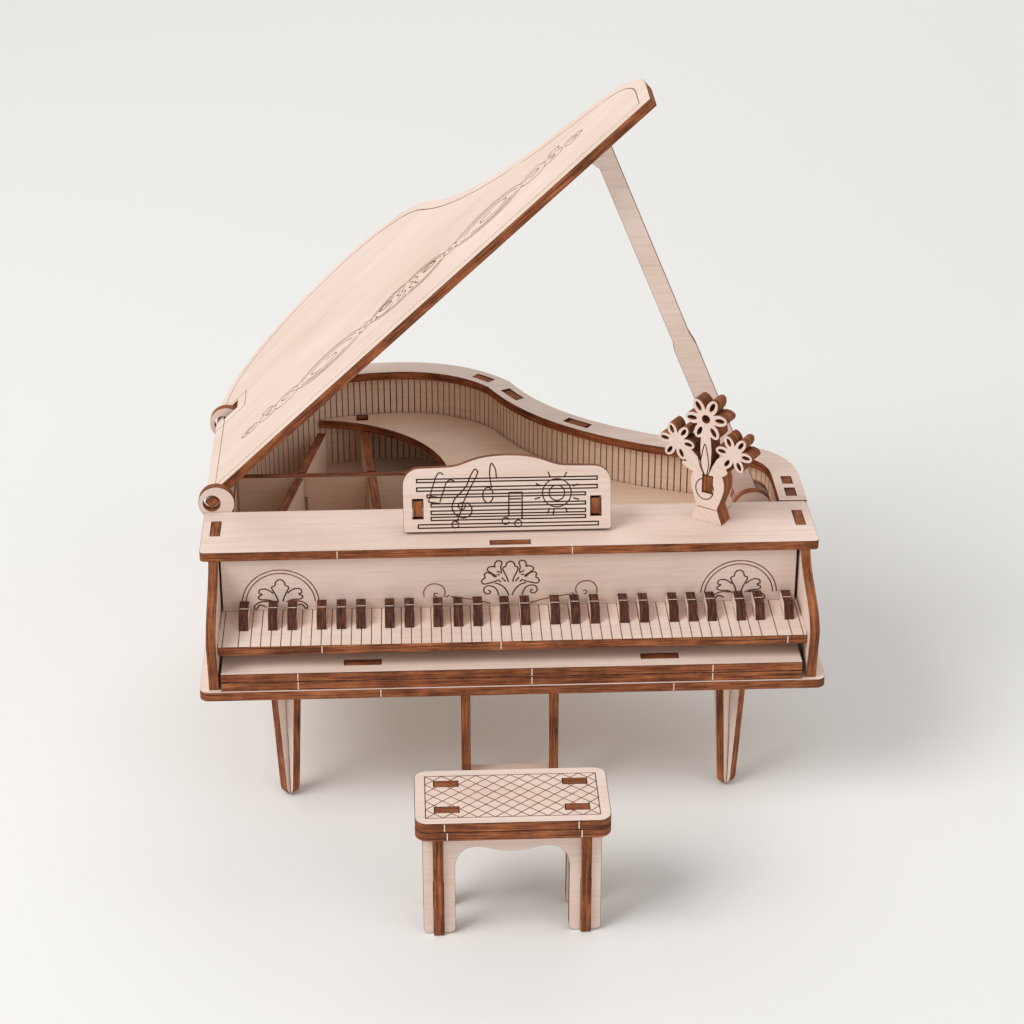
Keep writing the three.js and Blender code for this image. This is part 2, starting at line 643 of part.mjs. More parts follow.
function lidOutline() {
  const start = SIDE_START;
  const points = caseOutline(LID_INSET, start, start).map(([x, y]) => [
    x - HINGE_X, LID_FRONT + (y - start) * LID_DEPTH_SCALE,
  ]);
  const last = points.length - 1;
  points[last - 1][0] = Math.max(points[last - 1][0], TAB_EDGE);
  points[last][0] = TAB_EDGE;
  return [
    ...points.slice(0, -1),
    [TAB_EDGE, NOTCH.back], [NOTCH.depth, NOTCH.back], [NOTCH.depth, NOTCH.front],
    [LID_TAB, NOTCH.front], [LID_TAB, REAR_HINGE_Y + T - 0.3],
    [TAB_EDGE, REAR_HINGE_Y + T - 0.3],
    [TAB_EDGE, FRONT_HINGE_Y + 0.5], [LID_TAB, FRONT_HINGE_Y + 0.5], [LID_TAB, LID_FRONT],
  ];
}

const lidHinge = new THREE.Group();
lidHinge.position.set(HINGE_X, 0, HINGE_Z);
lidHinge.rotation.y = -THREE.MathUtils.degToRad(LID_OPEN);
model.add(lidHinge);
addPiece('lid', flatBoard(polygon(lidOutline()), -T / 2), lidHinge);

// ---- stay ------------------------------------------------------------------------------

// Drawn upright from its pivot: a broad foot, a step, and a beak cut along the lid.
function stayShape() {
  const foot = 2.45;
  const neck = 2;
  const step = 41;
  const shape = polygon([
    ...arcPoints(0, 0, foot, 180, 360, 12), [foot, step], [neck, step + 3], [neck, 90.9],
    [-3.5, 89], [-3.5, 88], [-neck, 85.5], [-neck, step + 2], [-foot, step],
  ]);
  roundHole(shape, 0, 0, STAY.hole);
  return shape;
}

const stayPivot = new THREE.Group();
stayPivot.position.set(STAY.x, STAY.y, STAY.z);
stayPivot.rotation.y = -THREE.MathUtils.degToRad(STAY.lean);
model.add(stayPivot);
addPiece('lid_stay', frontBoard(stayShape(), 0), stayPivot);

function stayEar() {
  const { x, z } = STAY;
  const shape = polygon([
    ...arcPoints(x, z, EAR_RADIUS, 0, 180, 18), [x - EAR_RADIUS, SOUND_TOP],
    [x - EAR_TAB, SOUND_TOP], [x - EAR_TAB, SOUND_TOP - T + 0.1],
    [x + EAR_TAB, SOUND_TOP - T + 0.1], [x + EAR_TAB, SOUND_TOP], [x + EAR_RADIUS, SOUND_TOP],
  ]);
  roundHole(shape, x, z, STAY.pinRadius + 0.1);
  return shape;
}
addPiece('stay_ear_front', frontBoard(stayEar(), STAY.y - T - 0.2));
addPiece('stay_ear_rear', frontBoard(stayEar(), STAY.y + T + 0.2));

const pin = new THREE.CylinderGeometry(STAY.pinRadius, STAY.pinRadius, 3 * T + 1.2, 16);
pin.translate(STAY.x, STAY.y + T / 2, STAY.z);
addPiece('stay_pin', pin, model, 'pin');

// ---- music desk ------------------------------------------------------------------------

const DESK_SLOT = [3, 7]; // heights of the slots that the bracket tabs fill
const deskAngle = THREE.MathUtils.degToRad(DESK.tilt);
const deskFoot = CASE_TOP + T * Math.sin(deskAngle) + FIT;

function musicDesk() {
  const middle = (DESK.left + DESK.right) / 2;
  const half = (DESK.right - DESK.left) / 2;
  const { height, shoulder } = DESK;
  const corner = 3.6;
  const hump = bezier([
    [half - 9.5, shoulder + 0.15], [half - 13.5, shoulder + 0.3], [half - 14, height], [0, height],
  ]);
  const side = [
    [half, 0.4], ...arcPoints(half - corner, shoulder - corner, corner, 0, 90, 7),
    ...hump.getPoints(9).slice(0, -1).map((p) => [p.x, p.y]),
  ];
  const shape = polygon([
    [half - 0.4, 0], ...side, [0, height], ...side.map(([x, z]) => [-x, z]).reverse(),
    [0.4 - half, 0],
  ].map(([x, z]) => [x + middle, z]));
  BRACKET_X.forEach((x) => slot(shape, x, DESK_SLOT[0], x + T, DESK_SLOT[1], 0.15));
  return shape;
}

const deskHolder = new THREE.Group();
deskHolder.position.set(0, DESK.front, deskFoot);
deskHolder.rotation.x = -deskAngle;
model.add(deskHolder);
addPiece('music_desk', frontBoard(musicDesk(), 0), deskHolder);

// A point of the leaning desk: how high up its face, and how far behind its front.
function deskPoint(up, behind) {
  return [
    DESK.front + up * Math.sin(deskAngle) + behind * Math.cos(deskAngle),
    deskFoot + up * Math.cos(deskAngle) - behind * Math.sin(deskAngle),
  ];
}

function deskBracket() {
  const clear = T + TURNED_FIT;
  const [y0] = deskPoint(0, clear);
  return polygon([
    [y0 + 0.1, CASE_TOP], deskPoint(DESK_SLOT[0] + 0.3, clear), deskPoint(DESK_SLOT[0] + 0.3, 0.1),
    deskPoint(DESK_SLOT[1] - 0.3, 0.1), deskPoint(DESK_SLOT[1] - 0.3, clear),
    deskPoint(10.5, clear), deskPoint(10.5, clear + 1.6), [30.5, CASE_TOP + 4],
    [34, CASE_TOP + 1.5], [34, CASE_TOP], [BRACKET_TAB[1], CASE_TOP],
    [BRACKET_TAB[1], WALL_TOP + 0.1], [BRACKET_TAB[0], WALL_TOP + 0.1],
    [BRACKET_TAB[0], CASE_TOP],
  ].reverse());
}
BRACKET_X.forEach((x, i) => {
  addPiece(`desk_bracket_${['left', 'right'][i]}`, sideBoard(deskBracket(), x));
});

// ---- vase of flowers ---------------------------------------------------------------------

const PEG = { bottom: 7, top: 10.7 };
const PETALS = 6;
const FLOWERS = [
  { x: -0.9, z: 23.7, turn: 5, size: 1, eye: true },
  { x: -7.6, z: 17.1, turn: -4, size: 0.86 },
  { x: 5.9, z: 17.2, turn: -3, size: 0.86 },
];

function plate(shape, segments = 8) {
  return frontBoard(shape, 0, T, segments);
}

function ellipse(x, z, rx, rz, angle) {
  const shape = new THREE.Shape();
  shape.absellipse(x, z, rx, rz, 0, Math.PI * 2, false, THREE.MathUtils.degToRad(angle));
  return shape;
}

// One shape for each petal of a flower, centred `out` from the flower's middle.
function ofEachPetal({ x, z, turn, size }, out, long, wide) {
  return Array.from({ length: PETALS }, (_, i) => {
    const angle = turn + (i * 360) / PETALS;
    const rad = THREE.MathUtils.degToRad(angle);
    const [px, pz] = [x + out * size * Math.cos(rad), z + out * size * Math.sin(rad)];
    return ellipse(px, pz, long * size, wide * size, angle);
  });
}

function flowerPetals(flower) {
  const core = ellipse(flower.x, flower.z, 2.2 * flower.size, 2.2 * flower.size, 0);
  return [core, ...ofEachPetal(flower, 3, 1.95, 1.25)].map((shape) => plate(shape, 6));
}

function flowerHoles(flower) {
  const holes = ofEachPetal(flower, 3.25, 1.15, 0.52);
  return flower.eye ? [ellipse(flower.x, flower.z, 1, 1, 0), ...holes] : holes;
}

function vaseBody() {
  const shape = new THREE.Shape();
  shape.moveTo(-3.7, 0);
  shape.lineTo(3.7, 0);
  shape.lineTo(2.4, 3.3);
  shape.bezierCurveTo(2.8, 5, 4.1, 7.4, 3.9, 9.4);
  shape.bezierCurveTo(3.8, 10.6, 3.4, 11.2, 3, 12);
  shape.lineTo(-3, 12);
  shape.bezierCurveTo(-3.4, 11.2, -3.8, 10.6, -3.9, 9.4);
  shape.bezierCurveTo(-4.1, 7.4, -2.8, 5, -2.4, 3.3);
  return shape;
}

// A stem or leaf is a slim lens between two points.
function leaf([x0, z0], [x1, z1], width) {
  const length = Math.hypot(x1 - x0, z1 - z0);
  const angle = THREE.MathUtils.radToDeg(Math.atan2(z1 - z0, x1 - x0));
  return ellipse((x0 + x1) / 2, (z0 + z1) / 2, length / 2, width / 2, angle);
}

function vaseLayer() {
  const greens = [
    leaf([-0.4, 11], [-0.9, 22.5], 2.6), leaf([-1.2, 11.2], [-6.4, 16.4], 3),
    leaf([0.8, 11.2], [5, 16.6], 3), leaf([-1.6, 11.4], [-6.2, 12.6], 1.6),
    leaf([1.4, 11.4], [4.6, 12.8], 1.6),
  ];
  const solid = joined([
    plate(vaseBody(), 6), ...greens.map((shape) => plate(shape, 6)),
    ...FLOWERS.flatMap(flowerPetals),
  ]);
  const half = T / 2 + TURNED_FIT;
  const pegHole = polygon(rectangle(-half, PEG.bottom - TURNED_FIT, half, PEG.top + TURNED_FIT));
  const tools = [...FLOWERS.flatMap(flowerHoles), pegHole].map((shape) => (
    frontBoard(shape, -1, T + 2, 5)
  ));
  return cut(solid, ...tools);
}

const vase = new THREE.Group();
vase.position.set(VASE.x, VASE.y, CASE_TOP + FIT);
vase.rotation.z = THREE.MathUtils.degToRad(VASE.turn);
model.add(vase);
addPiece('vase_front', vaseLayer().translate(0, -T, 0), vase);
addPiece('vase_back', vaseLayer().translate(0, FIT, 0), vase);

const vaseStand = polygon([
  [-T + 0.1, PEG.bottom], [T + 0.5, PEG.bottom], [T + 0.5, 0], [T + 6, 0], [T + 6, 1.5],
  [T + 3.4, 5], [T + 2.4, PEG.top + 1.5], [T + 0.5, PEG.top + 1.5], [T + 0.5, PEG.top],
  [-T + 0.1, PEG.top],
]);
addPiece('vase_stand', sideBoard(vaseStand, -T / 2), vase);

// ---- stool -------------------------------------------------------------------------------

const BENCH_FRAME = BENCH.height - 2 * T; // top of the panels, under the two seat boards
const BENCH_PANEL = { left: 45.3, right: 80.3, front: -40.1, rear: -30.9 };
const BENCH_SIDES = [47.3, 76.3];
const SEAT_TABS = [[47.8, 52.5], [73.2, 77.9]];
const BENCH_LEG = 6.3;

['lower', 'upper'].forEach((layer, i) => {
  const shape = roundedRectangle(BENCH.left, BENCH.front, BENCH.right, BENCH.back, BENCH.corner);
  [BENCH_PANEL.front, BENCH_PANEL.rear].forEach((y) => {
    SEAT_TABS.forEach(([x0, x1]) => slot(shape, x0, y, x1, y + T));
  });
  addPiece(`seat_${layer}`, flatBoard(shape, BENCH_FRAME + i * T, T, 6));
});

// Front and rear panels: two legs and a scalloped apron, notched from below for the sides.
function benchPanel() {
  const { left, right } = BENCH_PANEL;
  const middle = (left + right) / 2;
  const legIn = left + BENCH_LEG;
  const apron = BENCH_FRAME - 5.2;
  const [low, high] = [BENCH_FRAME - 8.6, BENCH_FRAME - 4.1];
  const half = BENCH_FRAME / 2;
  const scallop = [
    ...bezier([[legIn, low], [legIn + 0.2, low + 2.6], [legIn + 1.5, high], [legIn + 4, high]])
      .getPoints(6),
    ...bezier([[legIn + 4, high], [legIn + 7, high], [middle - 4, apron], [middle, apron]])
      .getPoints(6).slice(1),
  ].map((p) => [p.x, p.y]);
  const mirrored = scallop.slice(0, -1).map(([x, z]) => [2 * middle - x, z]).reverse();
  const notch = (x) => [
    [x - FIT, 0], [x - FIT, half], [x + T + FIT, half], [x + T + FIT, 0],
  ];
  const tab = ([x0, x1]) => [
    [x1, BENCH_FRAME], [x1, BENCH.height], [x0, BENCH.height], [x0, BENCH_FRAME],
  ];
  const r = 1.2;
  const innerLeft = arcPoints(legIn - r, r, r, 270, 360, 4);
  const innerRight = arcPoints(right - BENCH_LEG + r, r, r, 180, 270, 4);
  return polygon([
    ...arcPoints(left + r, r, r, 180, 270, 4), ...notch(BENCH_SIDES[0]), ...innerLeft,
    ...scallop, ...mirrored, ...innerRight, ...notch(BENCH_SIDES[1]),
    ...arcPoints(right - r, r, r, 270, 360, 4), [right, BENCH_FRAME],
    ...tab(SEAT_TABS[1]), ...tab(SEAT_TABS[0]), [left, BENCH_FRAME],
  ]);
}
addPiece('bench_panel_front', frontBoard(benchPanel(), BENCH_PANEL.front));
addPiece('bench_panel_rear', frontBoard(benchPanel(), BENCH_PANEL.rear));

// Side panels: notched from above, with an arch between their feet.
function benchSide() {
  const [front, back] = [BENCH_PANEL.front - 0.9, BENCH_PANEL.rear + T + 0.9];
  const half = BENCH_FRAME / 2;
  const notch = (y) => [
    [y + T + FIT, BENCH_FRAME], [y + T + FIT, half], [y - FIT, half], [y - FIT, BENCH_FRAME],
  ];
  const foot = 3.9;
  const arch = bezier([
    [front + foot, 14], [front + foot, 20.5], [back - foot, 20.5], [back - foot, 14],
  ]).getPoints(8).map((p) => [p.x, p.y]);
  return polygon([
    [front, 0], [front + foot, 0], ...arch, [back - foot, 0], [back, 0], [back, BENCH_FRAME],
    ...notch(BENCH_PANEL.rear), ...notch(BENCH_PANEL.front), [front, BENCH_FRAME],
  ]);
}
BENCH_SIDES.forEach((x, i) => {
  addPiece(`bench_side_${['left', 'right'][i]}`, sideBoard(benchSide(), x));
});

// ---- origin at the middle of the footprint -------------------------------------------------

model.updateMatrixWorld(true);
const box = new THREE.Box3().setFromObject(model);
const centre = box.getCenter(new THREE.Vector3());
model.position.set(-centre.x, -centre.y, -box.min.z);

export default model;
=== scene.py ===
"""A grand piano kit of laser-cut plywood, with its stool and a vase of flowers.

Every board keeps the place and outline of its CAD node. It is copied from the node, its
edges are chamfered by the burn of the laser, and its engraving is cut into its face.
Lengths in this file are millimetres until place() turns them into the frame's metres.
"""
import json
import math

import bpy
from mathutils import Matrix, Vector

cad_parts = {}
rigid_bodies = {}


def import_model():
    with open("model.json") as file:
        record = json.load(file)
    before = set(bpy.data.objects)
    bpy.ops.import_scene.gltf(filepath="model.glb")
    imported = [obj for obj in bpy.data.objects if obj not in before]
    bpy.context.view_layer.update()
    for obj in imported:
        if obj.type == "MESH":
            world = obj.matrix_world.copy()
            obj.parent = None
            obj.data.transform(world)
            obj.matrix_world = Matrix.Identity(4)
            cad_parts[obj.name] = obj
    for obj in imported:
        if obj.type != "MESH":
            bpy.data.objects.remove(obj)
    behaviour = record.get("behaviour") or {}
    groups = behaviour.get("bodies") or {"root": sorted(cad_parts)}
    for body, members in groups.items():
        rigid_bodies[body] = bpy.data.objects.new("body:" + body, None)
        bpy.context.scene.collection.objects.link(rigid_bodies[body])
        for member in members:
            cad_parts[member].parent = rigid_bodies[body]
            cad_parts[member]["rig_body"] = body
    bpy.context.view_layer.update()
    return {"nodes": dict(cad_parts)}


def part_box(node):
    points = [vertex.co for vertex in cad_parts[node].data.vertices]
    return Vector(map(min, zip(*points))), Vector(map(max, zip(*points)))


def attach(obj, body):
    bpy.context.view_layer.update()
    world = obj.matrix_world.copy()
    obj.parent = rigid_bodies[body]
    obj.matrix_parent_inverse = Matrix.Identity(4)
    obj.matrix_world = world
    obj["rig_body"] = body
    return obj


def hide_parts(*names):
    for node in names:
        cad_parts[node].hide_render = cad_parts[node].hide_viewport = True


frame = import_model()
MM = 0.001

# The plan starts at the left edge of the base board, 0.8 mm in front of it.
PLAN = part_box("base_board")[0] - Vector((0, 0.8 * MM, 0))
SHEET = 2.0  # thickness of the plywood
CASE_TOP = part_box("top_board")[1].z / MM
KEY_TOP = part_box("key_board")[1].z / MM
FALL_FRONT = (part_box("fallboard")[0].y - PLAN.y) / MM
HINGE = Vector((1.8, 0, CASE_TOP + 2.1))
LID_OPEN = math.radians(43.1)
DESK_TILT = math.radians(15)
DESK_FRONT = 23.6
DESK_LEFT = 42.7
VASE_AT = Vector((108.1, 28.6, CASE_TOP + 0.05))
VASE_TURN = math.radians(-34)

X, Y, Z = Vector((1, 0, 0)), Vector((0, 1, 0)), Vector((0, 0, 1))


def place(x, y, z):
    """A point of the plan, in the frame's metres."""
    return Vector((PLAN.x + x * MM, PLAN.y + y * MM, z * MM))


# ---- camera --------------------------------------------------------------------------

CAMERA_AT = (44.557, -452.06, 300.90)
CAMERA_YAW = math.radians(2.5275)
CAMERA_PITCH = math.radians(26.747)
CAMERA_LENS = 89.25
SENSOR_WIDTH = 36


def make_camera():
    """A view from above the player's seat, a little to the left."""
    data = bpy.data.cameras.new("camera")
    data.lens = CAMERA_LENS
    data.sensor_width = SENSOR_WIDTH
    data.clip_start = 0.01
    data.clip_end = 10
    camera = bpy.data.objects.new("camera", data)
    bpy.context.scene.collection.objects.link(camera)
    camera.location = place(*CAMERA_AT)
    camera.rotation_euler = (math.radians(90) - CAMERA_PITCH, 0, -CAMERA_YAW)
    bpy.context.scene.camera = camera


# ---- materials -----------------------------------------------------------------------

PALE_WOOD = (0.79, 0.64, 0.56)
PALE_WOOD_WARM = (0.73, 0.56, 0.465)
# painted warm shade: faces inside the case and of the bent walls are warmer and more saturated
# than the pale wood
PAINTED_SHADE_WOOD = (0.84, 0.64, 0.50)
PAINTED_SHADE_WOOD_WARM = (0.74, 0.53, 0.39)
BURNT_LIGHT = (0.42, 0.160, 0.060)
BURNT_MID = (0.215, 0.063, 0.024)
BURNT_DARK = (0.062, 0.02, 0.011)
CHAR = (0.022, 0.009, 0.006)
ENGRAVED = (0.15, 0.055, 0.024)
SCORCHED_TAN = (0.34, 0.155, 0.07)
FRESH_CHIP = (0.90, 0.80, 0.72)


def new_material(name):
    """A matt material, its node tree and its shader."""
    material = bpy.data.materials.new(name)
    material.use_nodes = True
    shader = material.node_tree.nodes["Principled BSDF"]
    shader.inputs["Metallic"].default_value = 0
    shader.inputs["Specular IOR Level"].default_value = 0.25
    return material, material.node_tree, shader


def add_node(tree, kind, **values):
    """A node with its settings, and with its sockets' values by name."""
    node = tree.nodes.new(kind)
    for key, value in values.items():
        if hasattr(node, key):
            setattr(node, key, value)
        else:
            node.inputs[key.replace("_", " ")].default_value = value
    return node


def board_coordinates(tree, normal, scale):
    """Object coordinates turned so that z runs through the board, then scaled."""
    coordinates = add_node(tree, "ShaderNodeTexCoord")
    turned = add_node(tree, "ShaderNodeMapping")
    turned.inputs["Rotation"].default_value = normal.rotation_difference(Z).to_euler()
    scaled = add_node(tree, "ShaderNodeMapping")
    scaled.inputs["Scale"].default_value = scale
    tree.links.new(coordinates.outputs["Object"], turned.inputs["Vector"])
    tree.links.new(turned.outputs["Vector"], scaled.inputs["Vector"])
    return scaled.outputs["Vector"]


def noise(tree, vector, scale, detail=4, roughness=0.6):
    node = add_node(tree, "ShaderNodeTexNoise", Scale=scale, Detail=detail, Roughness=roughness)
    tree.links.new(vector, node.inputs["Vector"])
    return node.outputs["Fac"]


def ramp(tree, factor, *stops):
    """Colours along a factor, each stop given as a position and a colour."""
    node = add_node(tree, "ShaderNodeValToRGB")
    elements = node.color_ramp.elements
    while len(elements) < len(stops):
        elements.new(0.5)
    for element, (position, colour) in zip(elements, stops):
        element.position = position
        element.color = (*colour, 1)
    tree.links.new(factor, node.inputs["Fac"])
    return node.outputs["Color"]


def mix_colour(tree, factor, first, second, blend):
    """Two colours mixed; each may be a number, a colour or another node's output."""
    node = add_node(tree, "ShaderNodeMix", data_type="RGBA", blend_type=blend)
    for socket, value in (("Factor", factor), ("A", first), ("B", second)):
        target = [s for s in node.inputs if s.name == socket and s.enabled][0]
        if isinstance(value, (float, int)):
            target.default_value = value
        elif isinstance(value, tuple):
            target.default_value = (*value, 1)
        else:
            tree.links.new(value, target)
    return [s for s in node.outputs if s.enabled][0]


def add_bump(tree, shader, height, strength, distance):
    bump = add_node(tree, "ShaderNodeBump", Strength=strength, Distance=distance)
    tree.links.new(height, bump.inputs["Height"])
    tree.links.new(bump.outputs["Normal"], shader.inputs["Normal"])


materials = {}


def cached(kind):
    """Makes each material once for each direction that a board can face."""
    def wrapper(normal):
        key = (kind.__name__, *(round(c, 3) for c in normal))
        if key not in materials:
            materials[key] = kind(normal)
        return materials[key]
    return wrapper


def wood_face(name, normal, pale, warm):
    """A sanded face: long fine grain, faint warm clouds and a few short pores."""
    material, tree, shader = new_material(name)
    grain = noise(tree, board_coordinates(tree, normal, (60, 1500, 60)), 1, 5, 0.65)
    clouds = noise(tree, board_coordinates(tree, normal, (25, 60, 25)), 1, 3, 0.5)
    pores = noise(tree, board_coordinates(tree, normal, (500, 6000, 500)), 1, 2, 0.5)
    wood = ramp(tree, clouds, (0.32, warm), (0.62, pale))
    streaks = ramp(tree, grain, (0.3, (0.86, 0.83, 0.80)), (0.55, (1, 1, 1)))
    wood = mix_colour(tree, 0.75, wood, streaks, "MULTIPLY")
    flecks = ramp(tree, pores, (0.24, (0.72, 0.62, 0.54)), (0.34, (1, 1, 1)))
    wood = mix_colour(tree, 0.5, wood, flecks, "MULTIPLY")
    tree.links.new(wood, shader.inputs["Base Color"])
    shader.inputs["Roughness"].default_value = 0.62
    add_bump(tree, shader, grain, 0.12, 0.0002)
    return material


@cached
def basswood_face(normal):
    return wood_face("basswood_face", normal, PALE_WOOD, PALE_WOOD_WARM)


@cached
def inside_face_painted_shade(normal):
    """A face inside the case, painted with warm shade: warmer and more saturated than a sanded
    face outside.
    """
    return wood_face("inside_face_painted_shade", normal, PAINTED_SHADE_WOOD, PAINTED_SHADE_WOOD_WARM)


@cached
def cut_edge(normal):
    """Laser-cut edge: scorched plies run along it, with lighter and blacker lengths."""
    material, tree, shader = new_material("cut_edge")
    plies = noise(tree, board_coordinates(tree, normal, (110, 110, 3200)), 1, 3, 0.6)
    fibres = noise(tree, board_coordinates(tree, normal, (450, 450, 9000)), 1, 2, 0.5)
    lengths = noise(tree, board_coordinates(tree, normal, (170, 170, 170)), 1, 3, 0.6)
    burnt = ramp(tree, plies, (0.30, BURNT_DARK), (0.45, BURNT_MID), (0.70, BURNT_LIGHT))
    patches = ramp(tree, lengths, (0.34, (0.55, 0.5, 0.47)), (0.66, (1.35, 1.3, 1.25)))
    burnt = mix_colour(tree, 0.8, burnt, patches, "MULTIPLY")
    fine = ramp(tree, fibres, (0.32, (0.7, 0.68, 0.66)), (0.6, (1.15, 1.15, 1.15)))
    burnt = mix_colour(tree, 0.7, burnt, fine, "MULTIPLY")
    tree.links.new(burnt, shader.inputs["Base Color"])
    shader.inputs["Roughness"].default_value = 0.78
    add_bump(tree, shader, plies, 0.35, 0.0002)
    return material


@cached
def key_edge(normal):
    """The charred edge of a black key, darker than the other cut edges."""
    material, tree, shader = new_material("key_edge")
    strokes = noise(tree, board_coordinates(tree, normal, (350, 350, 2600)), 1, 3, 0.6)
    burnt = ramp(tree, strokes, (0.3, CHAR), (0.5, BURNT_DARK), (0.75, BURNT_MID))
    tree.links.new(burnt, shader.inputs["Base Color"])
    shader.inputs["Roughness"].default_value = 0.7
    add_bump(tree, shader, strokes, 0.35, 0.0002)
    return material


@cached
def scorched_corner(normal):
    """The thin line of char where a face meets a cut edge."""
    material, tree, shader = new_material("scorched_corner")
    patches = noise(tree, board_coordinates(tree, normal, (500, 500, 500)), 1, 2, 0.6)
    char = ramp(tree, patches, (0.42, CHAR), (0.68, ENGRAVED))
    tree.links.new(char, shader.inputs["Base Color"])
    shader.inputs["Roughness"].default_value = 0.8
    return material


def engraved_line_material(name, dark, light):
    """The bottom of an engraved line, browner where the laser slowed down."""
    material, tree, shader = new_material(name)
    patches = noise(tree, board_coordinates(tree, Z, (900, 900, 900)), 1, 3, 0.6)
    char = ramp(tree, patches, (0.36, dark), (0.66, light))
    tree.links.new(char, shader.inputs["Base Color"])
    shader.inputs["Roughness"].default_value = 0.85
    return material


deep_cut = engraved_line_material("deep_cut", CHAR, BURNT_DARK)
engraved_line = engraved_line_material("engraved_line", BURNT_DARK, ENGRAVED)
tan_line = engraved_line_material("tan_line", ENGRAVED, SCORCHED_TAN)


def make_chip_material():
    """A splinter of clean wood, left where a board was broken out of its sheet."""
    material, tree, shader = new_material("fresh_chip")
    fibres = noise(tree, board_coordinates(tree, Z, (3000, 3000, 3000)), 1, 3, 0.6)
    wood = ramp(tree, fibres, (0.3, PALE_WOOD_WARM), (0.6, FRESH_CHIP))
    tree.links.new(wood, shader.inputs["Base Color"])
    shader.inputs["Roughness"].default_value = 0.85
    return material


fresh_chip = make_chip_material()

# ---- working on meshes ---------------------------------------------------------------


def select_only(*objects):
    """Leaves nothing else selected, and makes the first one active."""
    bpy.ops.object.select_all(action="DESELECT")
    for o in objects:
        o.select_set(True)
    bpy.context.view_layer.objects.active = objects[0]


def new_cube(name, low, high):
    """A box between two corners of the plan."""
    a, b = place(*low), place(*high)
    bpy.ops.object.select_all(action="DESELECT")
    bpy.ops.mesh.primitive_cube_add(size=1, location=(a + b) / 2)
    cube = bpy.context.view_layer.objects.active
    cube.name = name
    cube.scale = b - a
    bpy.ops.object.transform_apply(location=True, rotation=True, scale=True)
    return cube


def apply_modifier(o, kind, **settings):
    """Adds a modifier with its settings and applies it at once."""
    modifier = o.modifiers.new(kind.lower(), kind)
    for key, value in settings.items():
        setattr(modifier, key, value)
    select_only(o)
    bpy.ops.object.modifier_apply(modifier=modifier.name)


CHAMFER = 0.07
STACKED_CHAMFER = 0.12  # two boards on each other show a darker line between them
THIN_CHAMFER = 0.04
FACE, EDGE, CORNER = range(3)  # the order of a board's materials


def board(node, normal, face=basswood_face, chamfer=CHAMFER):
    """A finished board made from a CAD node: sanded faces, burnt edges, charred corners."""
    source = frame["nodes"][node]
    piece = bpy.data.objects.new(f"{node}_cut", source.data.copy())
    bpy.context.scene.collection.objects.link(piece)
    select_only(piece)
    bpy.ops.object.mode_set(mode="EDIT")
    bpy.ops.mesh.select_all(action="SELECT")
    bpy.ops.mesh.remove_doubles(threshold=1e-6)
    bpy.ops.mesh.dissolve_limited(angle_limit=math.radians(0.5))
    bpy.ops.object.mode_set(mode="OBJECT")
    bpy.ops.object.shade_flat()
    mesh = piece.data
    mesh.materials.clear()
    for material in (face(normal), cut_edge(normal), scorched_corner(normal)):
        mesh.materials.append(material)
    for polygon in mesh.polygons:
        polygon.material_index = FACE if abs(polygon.normal.dot(normal)) > 0.7 else EDGE
    if chamfer:
        apply_modifier(
            piece, "BEVEL", width=chamfer * MM, segments=1, limit_method="ANGLE",
            angle_limit=math.radians(50), material=CORNER,
        )
    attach(piece, source["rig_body"])
    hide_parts(node)
    return piece


# ---- engraving -----------------------------------------------------------------------


def groove_cutter(lines, width, material, closed):
    """Tubes along lines on a board's face. Half of each tube lies inside the board."""
    curve = bpy.data.curves.new("groove", "CURVE")
    curve.dimensions = "3D"
    curve.bevel_depth = width / 2 * MM
    curve.bevel_resolution = 0
    curve.use_fill_caps = not closed
    for points in lines:
        spline = curve.splines.new("POLY")
        spline.points.add(len(points) - 1)
        for target, point in zip(spline.points, points):
            target.co = (*point, 1)
        spline.use_cyclic_u = closed
    cutter = bpy.data.objects.new("groove", curve)
    bpy.context.scene.collection.objects.link(cutter)
    select_only(cutter)
    bpy.ops.object.convert(target="MESH")
    cutter = bpy.context.view_layer.objects.active
    bpy.ops.object.mode_set(mode="EDIT")
    bpy.ops.mesh.select_all(action="SELECT")
    bpy.ops.mesh.remove_doubles(threshold=1e-7)
    bpy.ops.mesh.normals_make_consistent(inside=False)
    bpy.ops.object.mode_set(mode="OBJECT")
    cutter.data.materials.append(material)
    return cutter


def engrave(piece, lines, material, width=0.3, closed=False, crossing=False):
    """Cuts lines into a board's face. Lines that cross need the slower exact solver."""
    cutter = groove_cutter(lines, width, material, closed)
    settings = {"solver": "EXACT", "use_self": True} if crossing else {"solver": "MANIFOLD"}
    apply_modifier(
        piece, "BOOLEAN", object=cutter, operation="DIFFERENCE", material_mode="TRANSFER",
        **settings,
    )
    bpy.data.objects.remove(cutter)


def arc(u, v, radius, start, end, steps=16, squeeze=1.0):
    """Points of an arc in a board's own two directions, in millimetres and degrees."""
    angles = [math.radians(start + (end - start) * i / steps) for i in range(steps + 1)]
    return [(u + radius * math.cos(a), v + radius * squeeze * math.sin(a)) for a in angles]


def smooth_line(points, steps=6):
    """A Catmull-Rom curve through given points."""
    ends = [points[0], *points, points[-1]]
    made = []
    for i in range(1, len(ends) - 2):
        p0, p1, p2, p3 = (Vector(p) for p in ends[i - 1:i + 3])
        for s in range(steps):
            t = s / steps
            made.append(tuple(0.5 * (
                2 * p1 + (p2 - p0) * t + (2 * p0 - 5 * p1 + 4 * p2 - p3) * t * t
                + (3 * p1 - p0 - 3 * p2 + p3) * t * t * t
            )))
    made.append(tuple(points[-1]))
    return made


def mirrored(points, about=0.0):
    return [(2 * about - u, v) for u, v in points]


# ---- the plan of the case --------------------------------------------------------------

